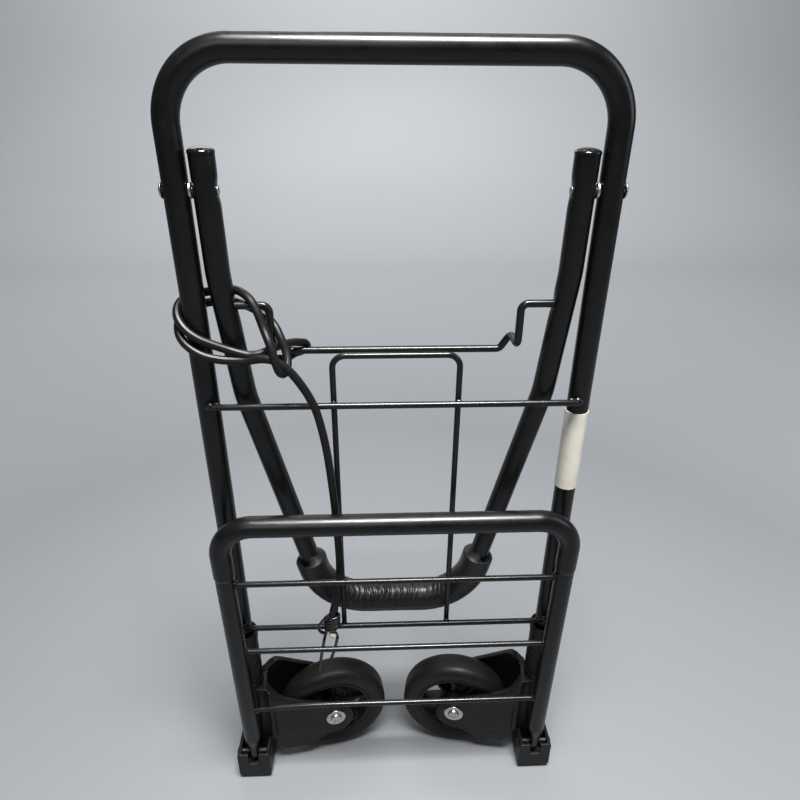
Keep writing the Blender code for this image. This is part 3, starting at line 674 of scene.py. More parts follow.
def main_frame():
    low, high = box("main_frame_tube")
    path = arch(LEG_X, 0, low.z, high.z - TUBE_R, FRAME_CORNER, 2.5)
    place(sweep("frame_tube", path, TUBE_R, 48, BACK), POWDER_COAT, "frame", "main_frame_tube")


def frame_wires():
    """The two wires across the frame, each through the middle of its CAD node."""
    for level in ("upper", "lower"):
        low, high = box(f"{level}_cross_wire")
        _, y, z = (low + high) / 2
        wire = sweep(
            f"{level}_wire", resample([(low.x, y, z), (high.x, y, z)], 20), WIRE_R, 24, BACK, tips=True)
        place(wire, WIRE_COAT, "frame", f"{level}_cross_wire")


def back_rack():
    low, high = box("back_rack_wire")
    path = arch(high.x - RACK_R, (low.y + high.y) / 2, low.z, high.z - RACK_R, RACK_CORNER, 6)
    rack = sweep("rack_wire", path, RACK_R, 24, BACK, tips=True)
    place(rack, WIRE_COAT, "frame", "back_rack_wire")


def frame_welds():
    """Weld beads where the wires meet the legs, and where the rack meets its two wires."""
    beads = []
    wires = ("upper_cross_wire", "lower_cross_wire")

    def bead(x, wire, back, up, size):
        middle = centre_of(wire)
        beads.append(lump("bead", (x, middle.y + back, middle.z + up), size, len(beads)))

    for wire in wires:
        for end in box(wire):
            bead(end.x, wire, 1.6, 0, (4.2, 2.4, 3.7))
            bead(end.x * 0.965, wire, 2.2, 0, (3.2, 2.0, 3.5))
    rack_x = box("back_rack_wire")[1].x - RACK_R
    for wire in wires:
        for side in (-1, 1):
            bead(side * rack_x, wire, 2.6, 0.6, (3.2, 1.7, 2.7))
    place(joined("frame_weld_beads", beads), WIRE_COAT, "frame")


def wrap_label():
    """Blank film round the right leg, with a lap and faint ripples."""
    low, high = box("wrap_label")

    def edge_lift(length, angle):
        lap = np.exp(-(((angle - 1.25) / 0.05) ** 2)) * 0.12
        lap = lap + np.where((angle > 1.25) & (angle < 1.9), 0.10, 0)
        return lap + 0.05 * np.sin(3 * angle + length / 9) * np.sin(length / 14)

    path = resample([(0, 0, low.z), (0, 0, high.z)], 3)
    outer = ring_rows(path, (high.x - low.x) / 2 - 0.15, 64, BACK, edge_lift)
    inner = ring_rows(path[::-1], TUBE_R + 0.02, 64, BACK)[:, ::-1]
    label = grid_object("blank_label", np.concatenate([outer, inner]), wrap_rows=True)
    place(label, LABEL, "frame", "wrap_label", matrix=move(LEG_X))


def handle_pivots():
    """Rivets through leg and arm, with a spacer between them."""
    outside, inside, face = TUBE_R + 0.1, ARM_X - TUBE_R + 1.0 - LEG_X, -TUBE_R - 2.4
    rivet = [
        (0, outside + 2.3), (3.2, outside + 2.1), (5.4, outside + 1.3), (6.4, outside),
        (2.8, outside - 0.1), (2.8, inside + 0.2), (3.6, inside), (3.3, inside - 0.7),
        (2.0, inside - 1.2), (0, inside - 1.3)]
    spacer = [(6.6, -TUBE_R), (5.6, face), (3.0, face), (3.0, -TUBE_R)]
    for name, side in SIDES.items():
        across = move(side * LEG_X, 0, PIVOT.z) @ turn(side * 90, "Y")
        head = turned(f"pivot_rivet_{name}", rivet, 48, across, rounding=0.5)
        place(head, ZINC, "frame", f"handle_rivet_{name}")
        washer = turned(f"pivot_spacer_{name}", spacer, 48, across, True, 0.7)
        place(washer, ZINC, "frame", f"handle_spacer_{name}")


# ---- handle


def handle_path():
    """Centre line of the handle in its own plane, from the right arm's top to the left one's."""
    half = [(ARM_X, 0, ARM_TOP), UPPER_BEND, LOWER_BEND, BOW_CORNER]
    return two_sided_path(half, HANDLE_RADII + HANDLE_RADII[::-1], 2)


def angle_from(angle, at):
    """How far an angle is from another, between -pi and pi."""
    return np.angle(np.exp(1j * (angle - at)))


def inner_dent(length, angle, at, along, depth):
    """A dent on the side of an arm that faces the other arm, at a distance along the handle."""
    away = angle_from(angle, 1.5 * math.pi)
    return -depth * np.exp(-((length - at) / along) ** 2 - (away / 0.55) ** 2)


def handle_tube():
    path = resample(handle_path(), 2.5)
    total = lengths_along(path)[-1]

    def dents(length, angle):
        relief = 0
        for distance in (length, total - length):
            relief = relief + inner_dent(distance, angle, ARM_TOP, 6.5, 2.0)
            relief = relief + inner_dent(distance, angle, ARM_TOP + BAIL_DROP, 7, 1.6)
        return relief

    tube = sweep("handle_bar", path, TUBE_R, 48, BACK, dents)
    place(tube, POWDER_COAT, "handle", "handle_tube", matrix=HANDLE_FRAME)


def grip_wrinkles(length, angle, middle):
    """Folds that foam makes on the inside of a bend: narrow creases, gone at half height."""
    from_middle = length - middle
    inner = np.clip(0.25 - 0.9 * np.sin(angle) - 0.35 * np.cos(angle), 0, 1) ** 0.8
    reach = 1 / (1 + np.exp((np.abs(from_middle) - 60) / 5))
    lean = from_middle * (1 + 0.07 * np.sin(2 * angle + 0.4)) + 1.5 * np.cos(3 * angle)
    wander = 1.7 * np.sin(lean / 11) + 1.1 * np.sin(lean / 4.6 + 2.5 * angle)
    ridge = np.abs(np.sin(math.pi * (lean + wander) / 6.8)) ** 0.6
    fine = np.abs(np.sin(math.pi * (lean - wander) / 4.3 + 1.5 * angle)) ** 0.7
    strength = 0.75 + 0.4 * np.sin(lean / 17 + 0.8)
    bulge = 0.35 * np.sin(from_middle / 23 + 1.1) * np.cos(angle)
    return (1.25 * ridge + 0.4 * fine - 1.35) * strength * reach * inner + bulge


def handle_grip():
    """Foam sleeve on the bow, with rounded rims and a hollow for the tube."""
    slope = (BOW_CORNER[0] - LOWER_BEND[0]) / (BOW_CORNER[2] - LOWER_BEND[2])
    top_x = LOWER_BEND[0] + (GRIP_TOP - LOWER_BEND[2]) * slope
    path = [point for point in handle_path() if point.z < GRIP_TOP]
    path = resample([(top_x, 0, GRIP_TOP), *path, (-top_x, 0, GRIP_TOP)], 0.75)
    total = lengths_along(path)[-1]
    rim, sides = 2.2, 96

    def skin(length, angle):
        near = np.minimum(length, total - length)
        drop = rim - np.sqrt(np.clip(rim**2 - np.clip(rim - near, 0, rim) ** 2, 0, None))
        return grip_wrinkles(length, angle, total / 2) - drop

    outer = ring_rows(path, GRIP_R, sides, BACK, skin)
    inner = ring_rows(path[::14], GRIP_BORE, sides, BACK)
    inner[-1] = ring_rows(path[-2:], GRIP_BORE, sides, BACK)[-1]
    ends = ring_rows(path[[0, -1]], (GRIP_R + GRIP_BORE) / 2, sides, BACK)
    rings = np.concatenate([ends[:1], outer, ends[1:], inner[::-1]])
    grip = smooth(grid_object("foam_grip", rings, wrap_rows=True), 60)
    place(grip, FOAM, "handle", "handle_grip", matrix=HANDLE_FRAME)


def handle_caps():
    """Domed plugs in the arm tops."""
    top, plug_r, dome_r = ARM_TOP, TUBE_R - TUBE_WALL, 9.9
    profile = [(0, top + 4.8)]
    profile += [(dome_r * r, top + 1.4 + 3.4 * z) for r, z in arc(0, 0, 1, 80, 10, 7)]
    profile += [(dome_r, top + 0.1), (plug_r, top + 0.1), (plug_r, top - 10), (0, top - 10)]
    for name, side in SIDES.items():
        cap = turned(f"arm_cap_{name}", profile, 64, HANDLE_FRAME @ move(side * ARM_X))
        place(cap, GLOSS_PLASTIC, "handle", f"handle_cap_{name}")


def lock_bail():
    """Bent wire: out of each arm, down, back, down again and across."""
    end, leg_x, leg, step = 131.5, 102, 36, 28
    centre_x, centre = 93, 50
    half = [(end, 0, 0), (leg_x, 0, 0), (leg_x, 0, -leg), (leg_x, step, -leg), (centre_x, step, -centre)]
    path = two_sided_path(half, [6] * (2 * len(half) - 2), 6)
    place(sweep("bail_wire", path, BAIL_R, 32), WIRE_COAT, "bail", "lock_bail", matrix=move(*BAIL_PIVOT))


# ---- platform


def toe_bow():
    """The bow: its ends are rolled in a little where they go over the legs."""
    path = resample(arch(LEG_X, 0, TOE_SEAM, TOE_BAR, TOE_CORNER, 2.5), 1.6)
    total = lengths_along(path)[-1]

    def rolled(length, angle):
        return -0.9 * np.exp(-((np.minimum(length, total - length) / 1.6) ** 2)) + 0 * angle

    bow = sweep("platform_bow", path, TOE_BOW_R, 48, BACK, rolled)
    place(bow, POWDER_COAT, "platform", "toe_bow", matrix=TOE_FRAME)


def toe_legs():
    """Lower tubes, pressed flat at the bottom to a tongue for the hinge pin."""
    tongue_top, taper_top, tongue_end = 12, 30, -8
    half_width, half_depth = 5, 7
    path = resample([(0, 0, tongue_end), (0, 0, TOE_SEAM + 1)], 1.5)
    for name, side in SIDES.items():

        def section(length, angle):
            height = length + tongue_end
            full = np.clip((height - tongue_top) / (taper_top - tongue_top), 0, 1)
            full = full * full * (3 - 2 * full)
            width = half_width + (TOE_LEG_R - half_width) * full
            depth = half_depth + (TOE_LEG_R - half_depth) * full
            power = 4 - 2 * full
            across, along = np.abs(np.cos(angle)) / depth, np.abs(np.sin(angle)) / width
            radius = (across**power + along**power) ** (-1 / power)
            tip = np.sqrt(np.clip(1 - np.clip(1 - length / 7, 0, 0.98) ** 2, 0, 1))
            away = angle_from(angle, math.pi + side * 0.75)
            dents = 0
            for drop in (12, 23):
                at = (height - TOE_SEAM + drop) / 2.2
                dents = dents - 1.1 * np.exp(-(at**2) - (away / 0.22) ** 2)
            return radius * tip - TOE_LEG_R + dents

        leg = sweep(f"platform_leg_{name}", path, TOE_LEG_R, 64, BACK, section)
        place(leg, POWDER_COAT, "platform", f"toe_leg_{name}", matrix=TOE_FRAME @ move(side * LEG_X))


def toe_wires():
    """Three wires between the legs; the lowest dips at its left end."""
    end = LEG_X - TOE_LEG_R + 1
    beads = []
    for name, z, dip in (("upper", 257, 0), ("middle", 165, 0), ("lower", 77, 5)):
        points = [
            (-end, 0, z - dip), (-0.78 * end, 0, z - 0.36 * dip), (-0.5 * end, 0, z), (0, 0, z), (end, 0, z)]
        wire = sweep(f"platform_wire_{name}", spline(points, 8), WIRE_R, 24, BACK)
        place(wire, WIRE_COAT, "platform", f"toe_wire_{name}", matrix=TOE_FRAME)
        for x, z_end in ((-end, z - dip), (end, z)):
            spot = TOE_FRAME @ Vector((x * 0.995, -0.3, z_end + 0.5))
            beads.append(lump("bead", spot, (2.6, 3.9, 4.2), 20 + len(beads)))
    place(joined("platform_weld_beads", beads), WIRE_COAT, "platform")


def toe_pins():
    reach = 18.2
    head = [(0, reach + 1.4), (2.6, reach + 1.2), (4.4, reach), (3, reach)]
    profile = head + [(r, -z) for r, z in reversed(head)]
    for name, side in SIDES.items():
        across = move(side * LEG_X, TOE_PIVOT.y, TOE_PIVOT.z) @ turn(90, "Y")
        pin = turned(f"hinge_pin_{name}", profile, 40, across, rounding=0.4)
        place(pin, PIN_STEEL, "frame", f"toe_pin_{name}")


# ---- feet and collars


def foot_block():
    """Left foot: open pocket and slot in front for the hinge, round socket behind for the leg."""
    low, high = box("foot_block_left")
    outline = rounded_outline(rectangle(low.x, low.z, high.x, high.z), 2.2, 5)
    body = plate("foot_body", [outline], low.y, high.y)
    modify(body, "BEVEL", width=1.6, segments=3, limit_method="ANGLE")
    above = high.z + 10
    cuts = [
        block("pocket", (-LEG_X - 14, -31.5, 20), (-LEG_X + 14, -11.8, above)),
        block("slot", (-LEG_X - 5.8, low.y - 5, 24.5), (-LEG_X + 5.8, -28, above))]
    socket_r = TUBE_R + 0.35
    socket = [(0, above), (socket_r, above), (socket_r, 8.7), (0, 8.7)]
    cuts.append(turned("socket", socket, 64, move(-LEG_X), rounding=0.01))
    for x in (-LEG_X - 19, -LEG_X + 19):
        cuts.append(block("waist", (x - 2, -9.5, 8), (x + 2, -8.3, above)))
    return moulded(combine(to_mesh(body), cuts, "DIFFERENCE"), 0.55, 4)


def foot_pad():
    """Left floor pad, with shallow grooves across its underside."""
    low, high = box("foot_pad_left")
    outline = rounded_outline(rectangle(low.x, low.y, high.x, high.y), 3, 5)
    pad = slab("pad", [outline], low.z, high.z, 0.9)
    grooves = []
    for y in np.linspace(low.y, high.y, 8)[1:-1]:
        grooves.append(block("groove", (low.x - 2, y - 0.8, low.z - 1), (high.x + 2, y + 0.8, low.z + 1.1)))
    return combine(pad, grooves, "DIFFERENCE")


def feet():
    foot, pad = foot_block(), foot_pad()
    pairs = {"right": (mirrored(foot, "foot"), mirrored(pad, "pad")), "left": (foot, pad)}
    for name, (foot, pad) in pairs.items():
        foot = even_shading(foot)
        foot.name, pad.name = f"foot_{name}", f"floor_pad_{name}"
        place(foot, MATT_PLASTIC, "frame", f"foot_block_{name}")
        place(pad, FOOT_RUBBER, "frame", f"foot_pad_{name}")


def leg_collars():
    """Flared collar on the leg and, below it, the grooved ring that meets the wheel bracket."""
    low, high = box("leg_collar_left")
    bore, outer = TUBE_R + 0.4, (high.x - low.x) / 2
    waist = outer - 0.9
    collar = [
        (outer - 0.5, high.z), (outer, high.z - 1.6), (outer, high.z - 9), (waist, high.z - 10.5),
        (waist, low.z + 5), (outer, low.z + 4), (outer, low.z), (bore, low.z), (bore, high.z - 9),
        (bore + 2.6, high.z)]
    low, high = box("lock_ring_left")
    ring_r = (high.x - low.x) / 2
    neck = ring_r - 1.1
    ring = [
        (neck, high.z), (neck, high.z - 2), (ring_r, high.z - 3), (ring_r, low.z + 3),
        (neck, low.z + 1.6), (neck, low.z), (bore, low.z), (bore, high.z)]
    for name, side in SIDES.items():
        shift = move(side * LEG_X)
        sleeve = turned(f"collar_{name}", collar, 72, shift, True, 0.7)
        place(sleeve, MATT_PLASTIC, "frame", f"leg_collar_{name}")
        cam = turned(f"cam_ring_{name}", ring, 192, closed=True, rounding=0.6)
        for vertex in cam.data.vertices:
            flat = Vector((vertex.co.x, vertex.co.y, 0))
            groove = max(0, math.cos(24 * math.atan2(flat.y, flat.x))) ** 3
            if flat.length > ring_r - 0.3:
                vertex.co -= flat.normalized() * 0.5 * groove
        place(cam, MATT_PLASTIC, "frame", f"lock_ring_{name}", matrix=shift)


# ---- wheels and brackets


# Outlines of the left fork's plates, as (distance from the leg, height)
FRONT_ARM = [
    (17, 44), (20, 43), (20, 33), (24, 26.5), (32, 20.5), (58, 18.5), *arc(87, 57, 23, -100, 60, 40),
    (78, 87), (66, 91.5), (53, 96), (39, 103), (30, 108.5), (23, 114.5), (17, 119.5)]
FRONT_PANEL = [
    (23, 46), (60, 38), *arc(87, 57, 20, -91, 55, 36), (75, 84), (53, 92.5), (39, 99.5), (30, 105),
    (23, 110)]
REAR_ARM = [
    (12, 44), (28, 44), (28, 32), (60, 30), *arc(88, 57, 21, -95, 30, 30), (88, 98), (64, 111),
    (34, 126), (27, 128.5), (21, 125), (15, 118.5), (12, 116)]
REAR_RIM = [
    (16, 116), (22, 121.4), (27, 124.8), (34, 122.6), (64, 107.6), (87, 95), (88, 98), (64, 111),
    (34, 126), (27, 128.5), (21, 125), (15, 118.5)]
REAR_RIB = [(15, 46), (27, 34), (58, 32), (58, 34.5), (29, 36.5), (17, 49)]


def corner_wall():
    """Wall round the inner corner of the fork. Its top is high at the rear arm and low at the front one."""
    front = [(4, -15), (12, -15.5), (16, -17), (19, -19.2), (22.5, -20.2), (42, -19.6), (42, -17.6)]
    inside = [(36, -16.7), (27.5, -14.6), (22, -10), (18.5, -4), (17.3, 2), (17.3, 7), (20, 9.5)]
    rear = [(27, 12.4), (36, 17.4), (36, 20.2), (13, 20.2), (6, 14), (4, 0)]
    wall = slab("corner", [rounded_outline(front + inside + rear, 4)], 45, 130)
    top, right = 140, 50
    over_front = [(0, 120), (15, 120), (17, 119), (23, 114.2), (30, 108.2), (39, 102.7), (right, 97)]
    over_middle = [(0, 119.5), (right, 119.5)]
    over_rear = [(0, 111), (8, 112), (15, 118), (21, 124.6), (27, 128.1), (34, 125.6), (right, 117)]
    cuts = []
    for outline, low, high in ((over_front, -25, -1), (over_middle, -2.5, 9), (over_rear, 7.5, 25)):
        cuts.append(plate("above", [[(0, top), *outline, (right, top)]], low, high))
    return combine(wall, cuts, "DIFFERENCE")


def wheel_bracket():
    """Left fork, in the frame of its bracket axis: barrel, corner wall, two arms and their ribs."""
    barrel_r, low, high = 13.8, 41, 128
    barrel = turned("barrel", [(0, high), (barrel_r, high), (barrel_r, low), (0, low)], 96, rounding=0.6)
    bracket = combine(barrel, [
        corner_wall(),
        plate("front_arm", [rounded_outline(FRONT_ARM, 4)], -ARM_OUTER, -ARM_INNER),
        plate("panel", [rounded_outline(FRONT_PANEL, 3)], -PANEL, -ARM_OUTER + 1),
        plate("rear_arm", [rounded_outline(REAR_ARM, 4)], ARM_INNER, ARM_OUTER),
        plate("rim", [rounded_outline(REAR_RIM, 2)], ARM_INNER - 1.4, ARM_OUTER - 0.3),
        plate("rib", [REAR_RIB], ARM_OUTER - 0.5, ARM_OUTER + 1.1)], "UNION")
    reach, drill_r = 40, AXLE_R + 0.3
    drill = turned(
        "drill", [(0, reach), (drill_r, reach), (drill_r, -reach), (0, -reach)], 40,
        move(WHEEL_REACH, 0, WHEEL_Z) @ turn(90, "X"))
    above, below, bore = 150, 30, TUBE_R + 0.4
    leg_hole = turned("leg_hole", [(0, above), (bore, above), (bore, below), (0, below)], 64)
    return moulded(combine(bracket, [drill, leg_hole], "DIFFERENCE"), 0.6, 5)


def tyre(name, matrix):
    """Wide tyre: rounded shoulders, a parting line on the tread and a stepped bead."""
    half, shoulder_r = 15, 9
    shoulder = [
        (WHEEL_R - shoulder_r * (1 - math.cos(a)), half - shoulder_r * (1 - math.sin(a)))
        for a in np.linspace(1.30, 0.06, 9)]
    wall = [
        (RIM_R + 0.05, half - 2.6), (43.6, half - 1.9), (44.5, half - 1.2), (47.4, half - 0.9),
        (48.0, half - 0.25), (51.0, half - 0.15)]
    upper = wall + shoulder + [(WHEEL_R - 0.02, 3), (WHEEL_R, 0.5), (WHEEL_R - 0.02, 0.25)]
    profile = upper + [(r, -z) for r, z in reversed(upper)]
    return turned(name, profile, 144, matrix @ turn(90, "X"), True, 0.25)


def hub_window(index):
    """One opening between two spokes."""
    inner, outer, half_spoke = 15.5, RIM_R - 5, 4.2
    half = math.pi / SPOKES
    middle = 2 * half * (index + 0.5)

    def corner(radius, sign):
        return math.degrees(middle + sign * (half - math.asin(half_spoke / radius)))

    outside = arc(0, 0, outer, corner(outer, -1), corner(outer, 1), 16)
    inside = arc(0, 0, inner, corner(inner, 1), corner(inner, -1), 6)
    return rounded_outline(outside + inside, 2, 4)


def wheel_hub():
    """Moulded wheel centre at the origin, its axle along Y."""
    web, rim_half, boss_half, bore = 4.5, 12.5, 16.2, BUSH_R + 0.3
    disc = [arc(0, 0, RIM_R - 2, 0, 357, 119), arc(0, 0, bore, 0, 352.5, 47)]
    hub = plate("hub_disc", disc + [hub_window(index) for index in range(SPOKES)], -web, web)
    rim = rectangle(RIM_R, rim_half, RIM_R - 4, -rim_half)
    boss = rectangle(12, boss_half, bore, -boss_half)
    pieces = [
        turned("rim", rim, 120, turn(90, "X"), True, 0.4),
        turned("boss", boss, 64, turn(90, "X"), True, 0.4)]
    for index in range(SPOKES):
        rib = block("rib", (9.5, -10.5, -1.3), (RIM_R - 2.5, 10.5, 1.3))
        rib.data.transform(turn(-360 * index / SPOKES, "Y"))
        pieces.append(rib)
    return moulded(combine(hub, pieces, "UNION"), 0.6, 4)


def axle(name, matrix):
    """Bolt, washer, bush and lock nut of one wheel; Z of the matrix runs out of the front arm."""
    face, bore = PANEL + 0.1, AXLE_R + 0.1
    top, tail = face + 1.5, -ARM_OUTER - 8
    washer = [(11, face + 1.2), (11, face), (4.2, face), (4.2, top), (8, top)]
    bolt = [
        (0, top + 1.7), (2.0, top + 1.7), (2.6, top + 2.5), (4.4, top + 2.5), (5.8, top + 1.8),
        (6.4, top + 0.6), (6.4, top), (AXLE_R, top - 0.1), (AXLE_R, tail + 0.8), (AXLE_R - 0.7, tail),
        (0, tail)]
    bush = rectangle(BUSH_R, ARM_INNER - 0.2, bore, 0.2 - ARM_INNER)
    nut = plate("nut", [arc(0, 0, 7.4, 0, 300, 5), arc(0, 0, bore, 0, 352.5, 47)], 0, 4.6, 0.5)
    collar = turned("nylon", rectangle(5.9, 6.0, bore, 4.2), 48, turn(-90, "X"), True, 0.5)
    nut = joined(f"nut_{name}", [nut, collar])
    nut.data.transform(matrix @ turn(-90, "X") @ move(0, ARM_OUTER + 0.1))
    faces_out(nut.data)
    for kind, piece in (
            ("washer", turned(f"washer_{name}", washer, 80, matrix, True, 0.45)),
            ("bolt", turned(f"bolt_{name}", bolt, 64, matrix, rounding=0.5)),
            ("bush", turned(f"bush_{name}", bush, 48, matrix, True)),
            ("nut", nut)):
        place(piece, ZINC, f"bracket_{name}", f"axle_{kind}_{name}")


def wheel_sides():
    hub = wheel_hub()
    forks = {"left": wheel_bracket()}
    forks["right"] = mirrored(forks["left"], "fork")
    for name, side in SIDES.items():
        swing = move(side * LEG_X) @ turn(-side * FOLDED_ANGLE, "Z")
        fork = even_shading(forks[name])
        fork.name = f"fork_{name}"
        place(fork, MATT_PLASTIC, f"bracket_{name}", f"wheel_bracket_{name}", matrix=swing)
        centre = swing @ move(-side * WHEEL_REACH, 0, WHEEL_Z)
        axle(name, centre @ turn(90, "X"))
        place(tyre(f"tyre_skin_{name}", centre), TYRE_RUBBER, f"wheel_{name}", f"tyre_{name}")
        wheel = even_shading(new_object(f"spoked_hub_{name}", hub.data.copy()))
        spun = centre @ turn(20 * side, "Y")
        place(wheel, MATT_PLASTIC, f"wheel_{name}", f"wheel_hub_{name}", matrix=spun)
    bpy.data.objects.remove(hub)


# ---- elastic cord


# The cord in order: round the bail wire, to the left leg and round it and the arm, down the bight
# and back, round the leg again and across to the tail
CORD_POINTS = [
    (-98.5, 13, 500), (-98, 20, 496.5), (-96, 27.5, 493.2), (-93, 33, 493.5), (-89, 37, 495),
    (-84, 38.6, 496), (-79.8, 39, 497.8), (-77.6, 38, 501.2), (-79, 34.5, 505.8), (-82.5, 30, 508),
    (-86, 25.5, 510), (-89.5, 19, 512), (-93, 11.5, 513.8), (-97, 3, 515.3), (-101.5, -5, 516),
    (-106, -10.5, 515.5), (-112, -13.4, 514.5), (-120, -13.8, 514.5), (-133, -13.8, 518.5),
    (-146, -14.8, 524), (-157, -14.8, 529.5), (-166, -12, 536), (-172, -6, 543), (-173.6, 2, 549),
    (-171, 9, 553), (-164, 13.8, 556), (-150, 16.8, 558), (-138, 17, 559.5), (-128, 12, 560),
    (-121, 5, 559), (-115, -1, 555.5), (-109.5, -6, 547), (-105, -11, 535.5), (-100, -18.5, 525),
    (-96.5, -23, 513), (-93.5, -23.5, 503.5), (-90.5, -19.5, 500.5), (-88.5, -12, 505), (-90, -5, 513),
    (-94, 0, 523), (-99, 6, 531.5), (-106, 11, 538), (-116, 13, 544), (-127, 15, 548), (-138, 17.8, 550),
    (-150, 17, 549), (-163, 14, 547), (-171, 8, 543), (-174, 0, 537), (-172, -8, 529), (-165.5, -13.3, 522),
    (-155, -16.8, 516), (-144.5, -17, 512.5), (-133, -15.8, 510.5), (-120, -15.5, 510.2),
    (-109, -18, 512.5), (-100, -20, 512.5), (-93.5, -19.8, 509), (-86, -19.6, 502), (-79, -19.5, 492),
    (-72, -19.5, 479), (-66, -19.5, 462), (-60.5, -19.5, 430), (-57, -19.5, 390), (-55, -19.5, 350),
    (-54, -19.5, 305), (-56, -20.5, 277), (-59.5, -22, 257), (-62.6, -23, 244), (-64.4, -22.9, 233),
    (-64.8, -22.4, 217)]
CORD_FOLD = [
    (-59.6, -16.8, 254), (-60.2, -16.6, 249), (-61.2, -17.6, 241), (-62.4, -19.4, 232), (-63, -19.8, 217)]


def elastic_cord():
    """The cord, and its folded end in the coil, with ten fine ribs that twist slightly."""

    def ribs(length, angle):
        return 0.07 * (np.cos(10 * angle + length / 40) - 1)

    strands = [
        sweep("strand", spline(points, 1.2), CORD_R, 84, relief=ribs)
        for points in (CORD_POINTS, CORD_FOLD)]
    place(joined("elastic_cord", strands), CORD, "frame", "bungee_cord")


def crimp_coil():
    """Four close turns of wire that grip the folded cord, and a fifth that swings out to one side."""
    top, bottom = Vector((-63.9, -21.4, 237)), Vector((-64.4, -21.4, 220.5))
    turns, steps, half_width, half_depth, tilt = 4.4, 32, 7.0, 4.7, 1.6
    points = []
    for i in range(int(turns * steps) + 1):
        share = i / (turns * steps)
        angle = 2 * math.pi * turns * share + math.pi
        x, y = math.cos(angle), math.sin(angle)
        points.append(top.lerp(bottom, share) + Vector((x * half_width, y * half_depth, x * tilt)))
    loop = [
        (-66, -25.5, 240.5), (-71.5, -26, 236), (-76, -24.8, 228.5), (-77.6, -23, 221.5), (-76.6, -21.2, 215),
        (-73.2, -20.6, 211.8), (-69.8, -21.2, 213.5)]
    wires = [
        sweep("coil", points, 1.45, 20, tips=True),
        sweep("loop", spline(loop, 1), 1.6, 20, tips=True)]
    place(joined("crimp_coil", wires), DARK_STEEL, "frame", "cord_ferrule")


def hook_and_core():
    """Two prongs of hook wire, and the cut end of the cord between them."""
    left = [
        (-70, -21.5, 218), (-72.6, -20.8, 206), (-74.8, -20.8, 194), (-77.3, -20.8, 180), (-79.3, -21, 166),
        (-80.4, -20.5, 159.5), (-80.4, -19, 157)]
    right = [
        (-62.8, -22.5, 215.5), (-60.6, -22.3, 212), (-59.8, -21.3, 206), (-60.9, -20.4, 199),
        (-63.4, -19.4, 187.5), (-66.5, -19.5, 176.5), (-69, -21, 171)]
    wires = [sweep("prong", spline(prong, 1.5), 1.6, 20, tips=True) for prong in (left, right)]
    place(joined("hook_wire", wires), DARK_STEEL, "frame", "cord_hook")
    threads = []
    middle = Vector((-64.3, -23.4, 213))
    for index in range(7):
        angle = 2 * math.pi * index / 7
        offset = Vector((2.1 * math.cos(angle), 1.7 * math.sin(angle), index % 3 - 1))
        threads.append(lump("thread", middle + offset, (1.7, 1.7, 3.4), 50 + index))
    place(joined("cord_cut_end", threads), CORE, "frame")


# ---- stage, in metres


def floor_and_backdrop():
    """Pale floor that curves up into a backdrop, paler with distance to make up for the fall of light."""
    material, tree, vector = new_shader("studio_floor")
    cloud = noise_of(tree, vector, 2.5, 4, 0.5)
    near = mix_colour(tree, cloud, (0.185, 0.192, 0.203, 1), (0.20, 0.207, 0.217, 1))
    away = put(tree, "VectorMath", {0: vector}, operation="LENGTH").outputs["Value"]
    far = ramp(tree, away, 0, 1, 0.8, 3.6)
    finished(material, {"Base Color": mix_colour(tree, far, near, (0.62, 0.64, 0.66, 1)), "Roughness": 0.5})
    depth, bend, height, half = 3.2, 0.9, 4.5, 30.0
    outline = [(-half, 0.0), (depth - bend, 0.0)]
    for a in np.linspace(0.1, math.pi / 2, 14):
        outline.append((depth - bend + bend * math.sin(a), bend - bend * math.cos(a)))
    outline.append((depth, height))
    vertices = [(x, y, z) for y, z in outline for x in (-half, half)]
    faces = [(2 * i, 2 * i + 1, 2 * i + 3, 2 * i + 2) for i in range(len(outline) - 1)]
    mesh = bpy.data.meshes.new("studio_floor")
    mesh.from_pydata(vertices, [], faces)
    floor = smooth(new_object("studio_floor", mesh), 60)
    floor.data.materials.append(material)


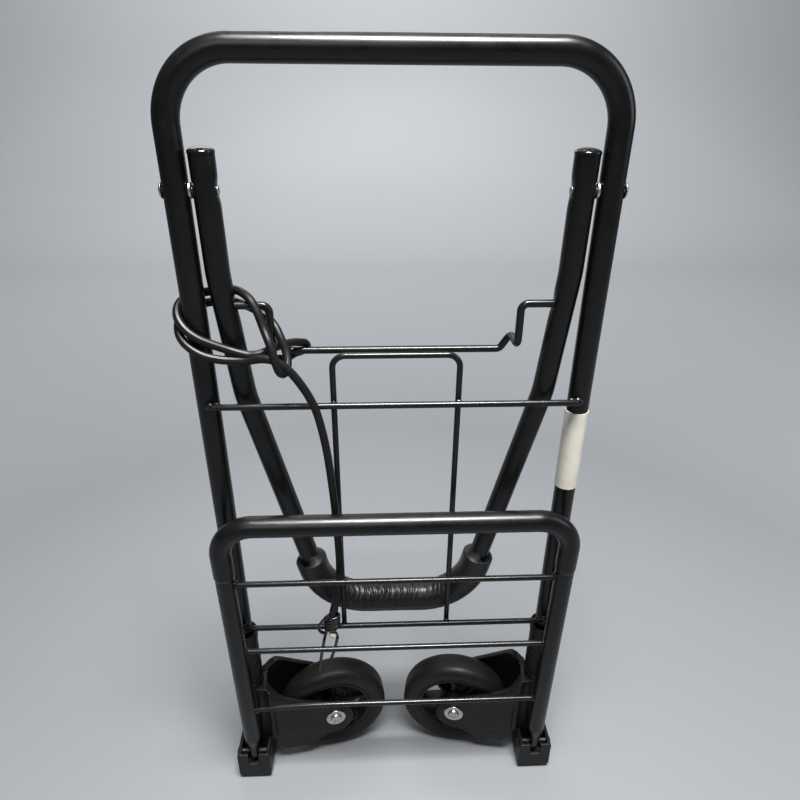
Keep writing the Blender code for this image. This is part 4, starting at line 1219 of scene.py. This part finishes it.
def lamp(name, location, target, size, power, colour=(1, 1, 1)):
    data = bpy.data.lights.new(name, "AREA")
    data.shape = "RECTANGLE"
    data.size, data.size_y = size
    data.energy = power
    data.color = colour
    obj = new_object(name, data)
    obj.location = location
    obj.rotation_euler = (Vector(target) - Vector(location)).to_track_quat("-Z", "Y").to_euler()


def lights():
    """A softbox overhead, which draws the highlights, and weak light from all round."""
    world = bpy.data.worlds.new("studio")
    bpy.context.scene.world = world
    world.use_nodes = True
    background = world.node_tree.nodes["Background"]
    background.inputs["Color"].default_value = (0.90, 0.93, 0.96, 1)
    seen = put(world.node_tree, "LightPath").outputs["Is Camera Ray"]
    strength = put(world.node_tree, "Math", {0: seen, 1: 0.25, 2: 0.15}, operation="MULTIPLY_ADD")
    plug(world.node_tree, background.inputs["Strength"], strength.outputs[0])
    lamp("key", (0.12, -0.45, 2.30), (0.12, -0.40, 0), (0.8, 0.6), 130)
    lamp("front_fill", (-0.5, -1.9, 1.9), (0, 0, 0.3), (1.2, 0.9), 10)
    lamp("right_fill", (1.6, -0.3, 1.2), (0, 0, 0.35), (0.5, 1.2), 6, (0.95, 0.97, 1))
    lamp("rear_fill", (-0.7, 2.3, 1.9), (0, 0, 0.35), (1.2, 0.9), 7)
    lamp("backdrop_light", (0, 1.5, 2.8), (0, 3.2, 0.9), (2.4, 0.8), 40)
    view = bpy.context.scene.view_settings
    view.view_transform = "Standard"
    view.gamma = 0.86


def camera():
    x, y, z = -0.0173, -0.4632, 0.6976
    pitch, yaw, roll = 26.59, 2.57, 0.40
    data = bpy.data.cameras.new("camera")
    data.lens = 27
    data.sensor_width = 36
    data.clip_start = 0.01
    obj = new_object("camera", data)
    obj.matrix_world = move(x, y, z) @ turn(-yaw, "Z") @ turn(90 - pitch, "X") @ turn(roll, "Z")
    bpy.context.scene.camera = obj


main_frame()
frame_wires()
back_rack()
frame_welds()
wrap_label()
handle_pivots()
handle_tube()
handle_grip()
handle_caps()
lock_bail()
toe_bow()
toe_legs()
toe_wires()
toe_pins()
feet()
leg_collars()
wheel_sides()
elastic_cord()
crimp_coil()
hook_and_core()
floor_and_backdrop()
lights()
camera()
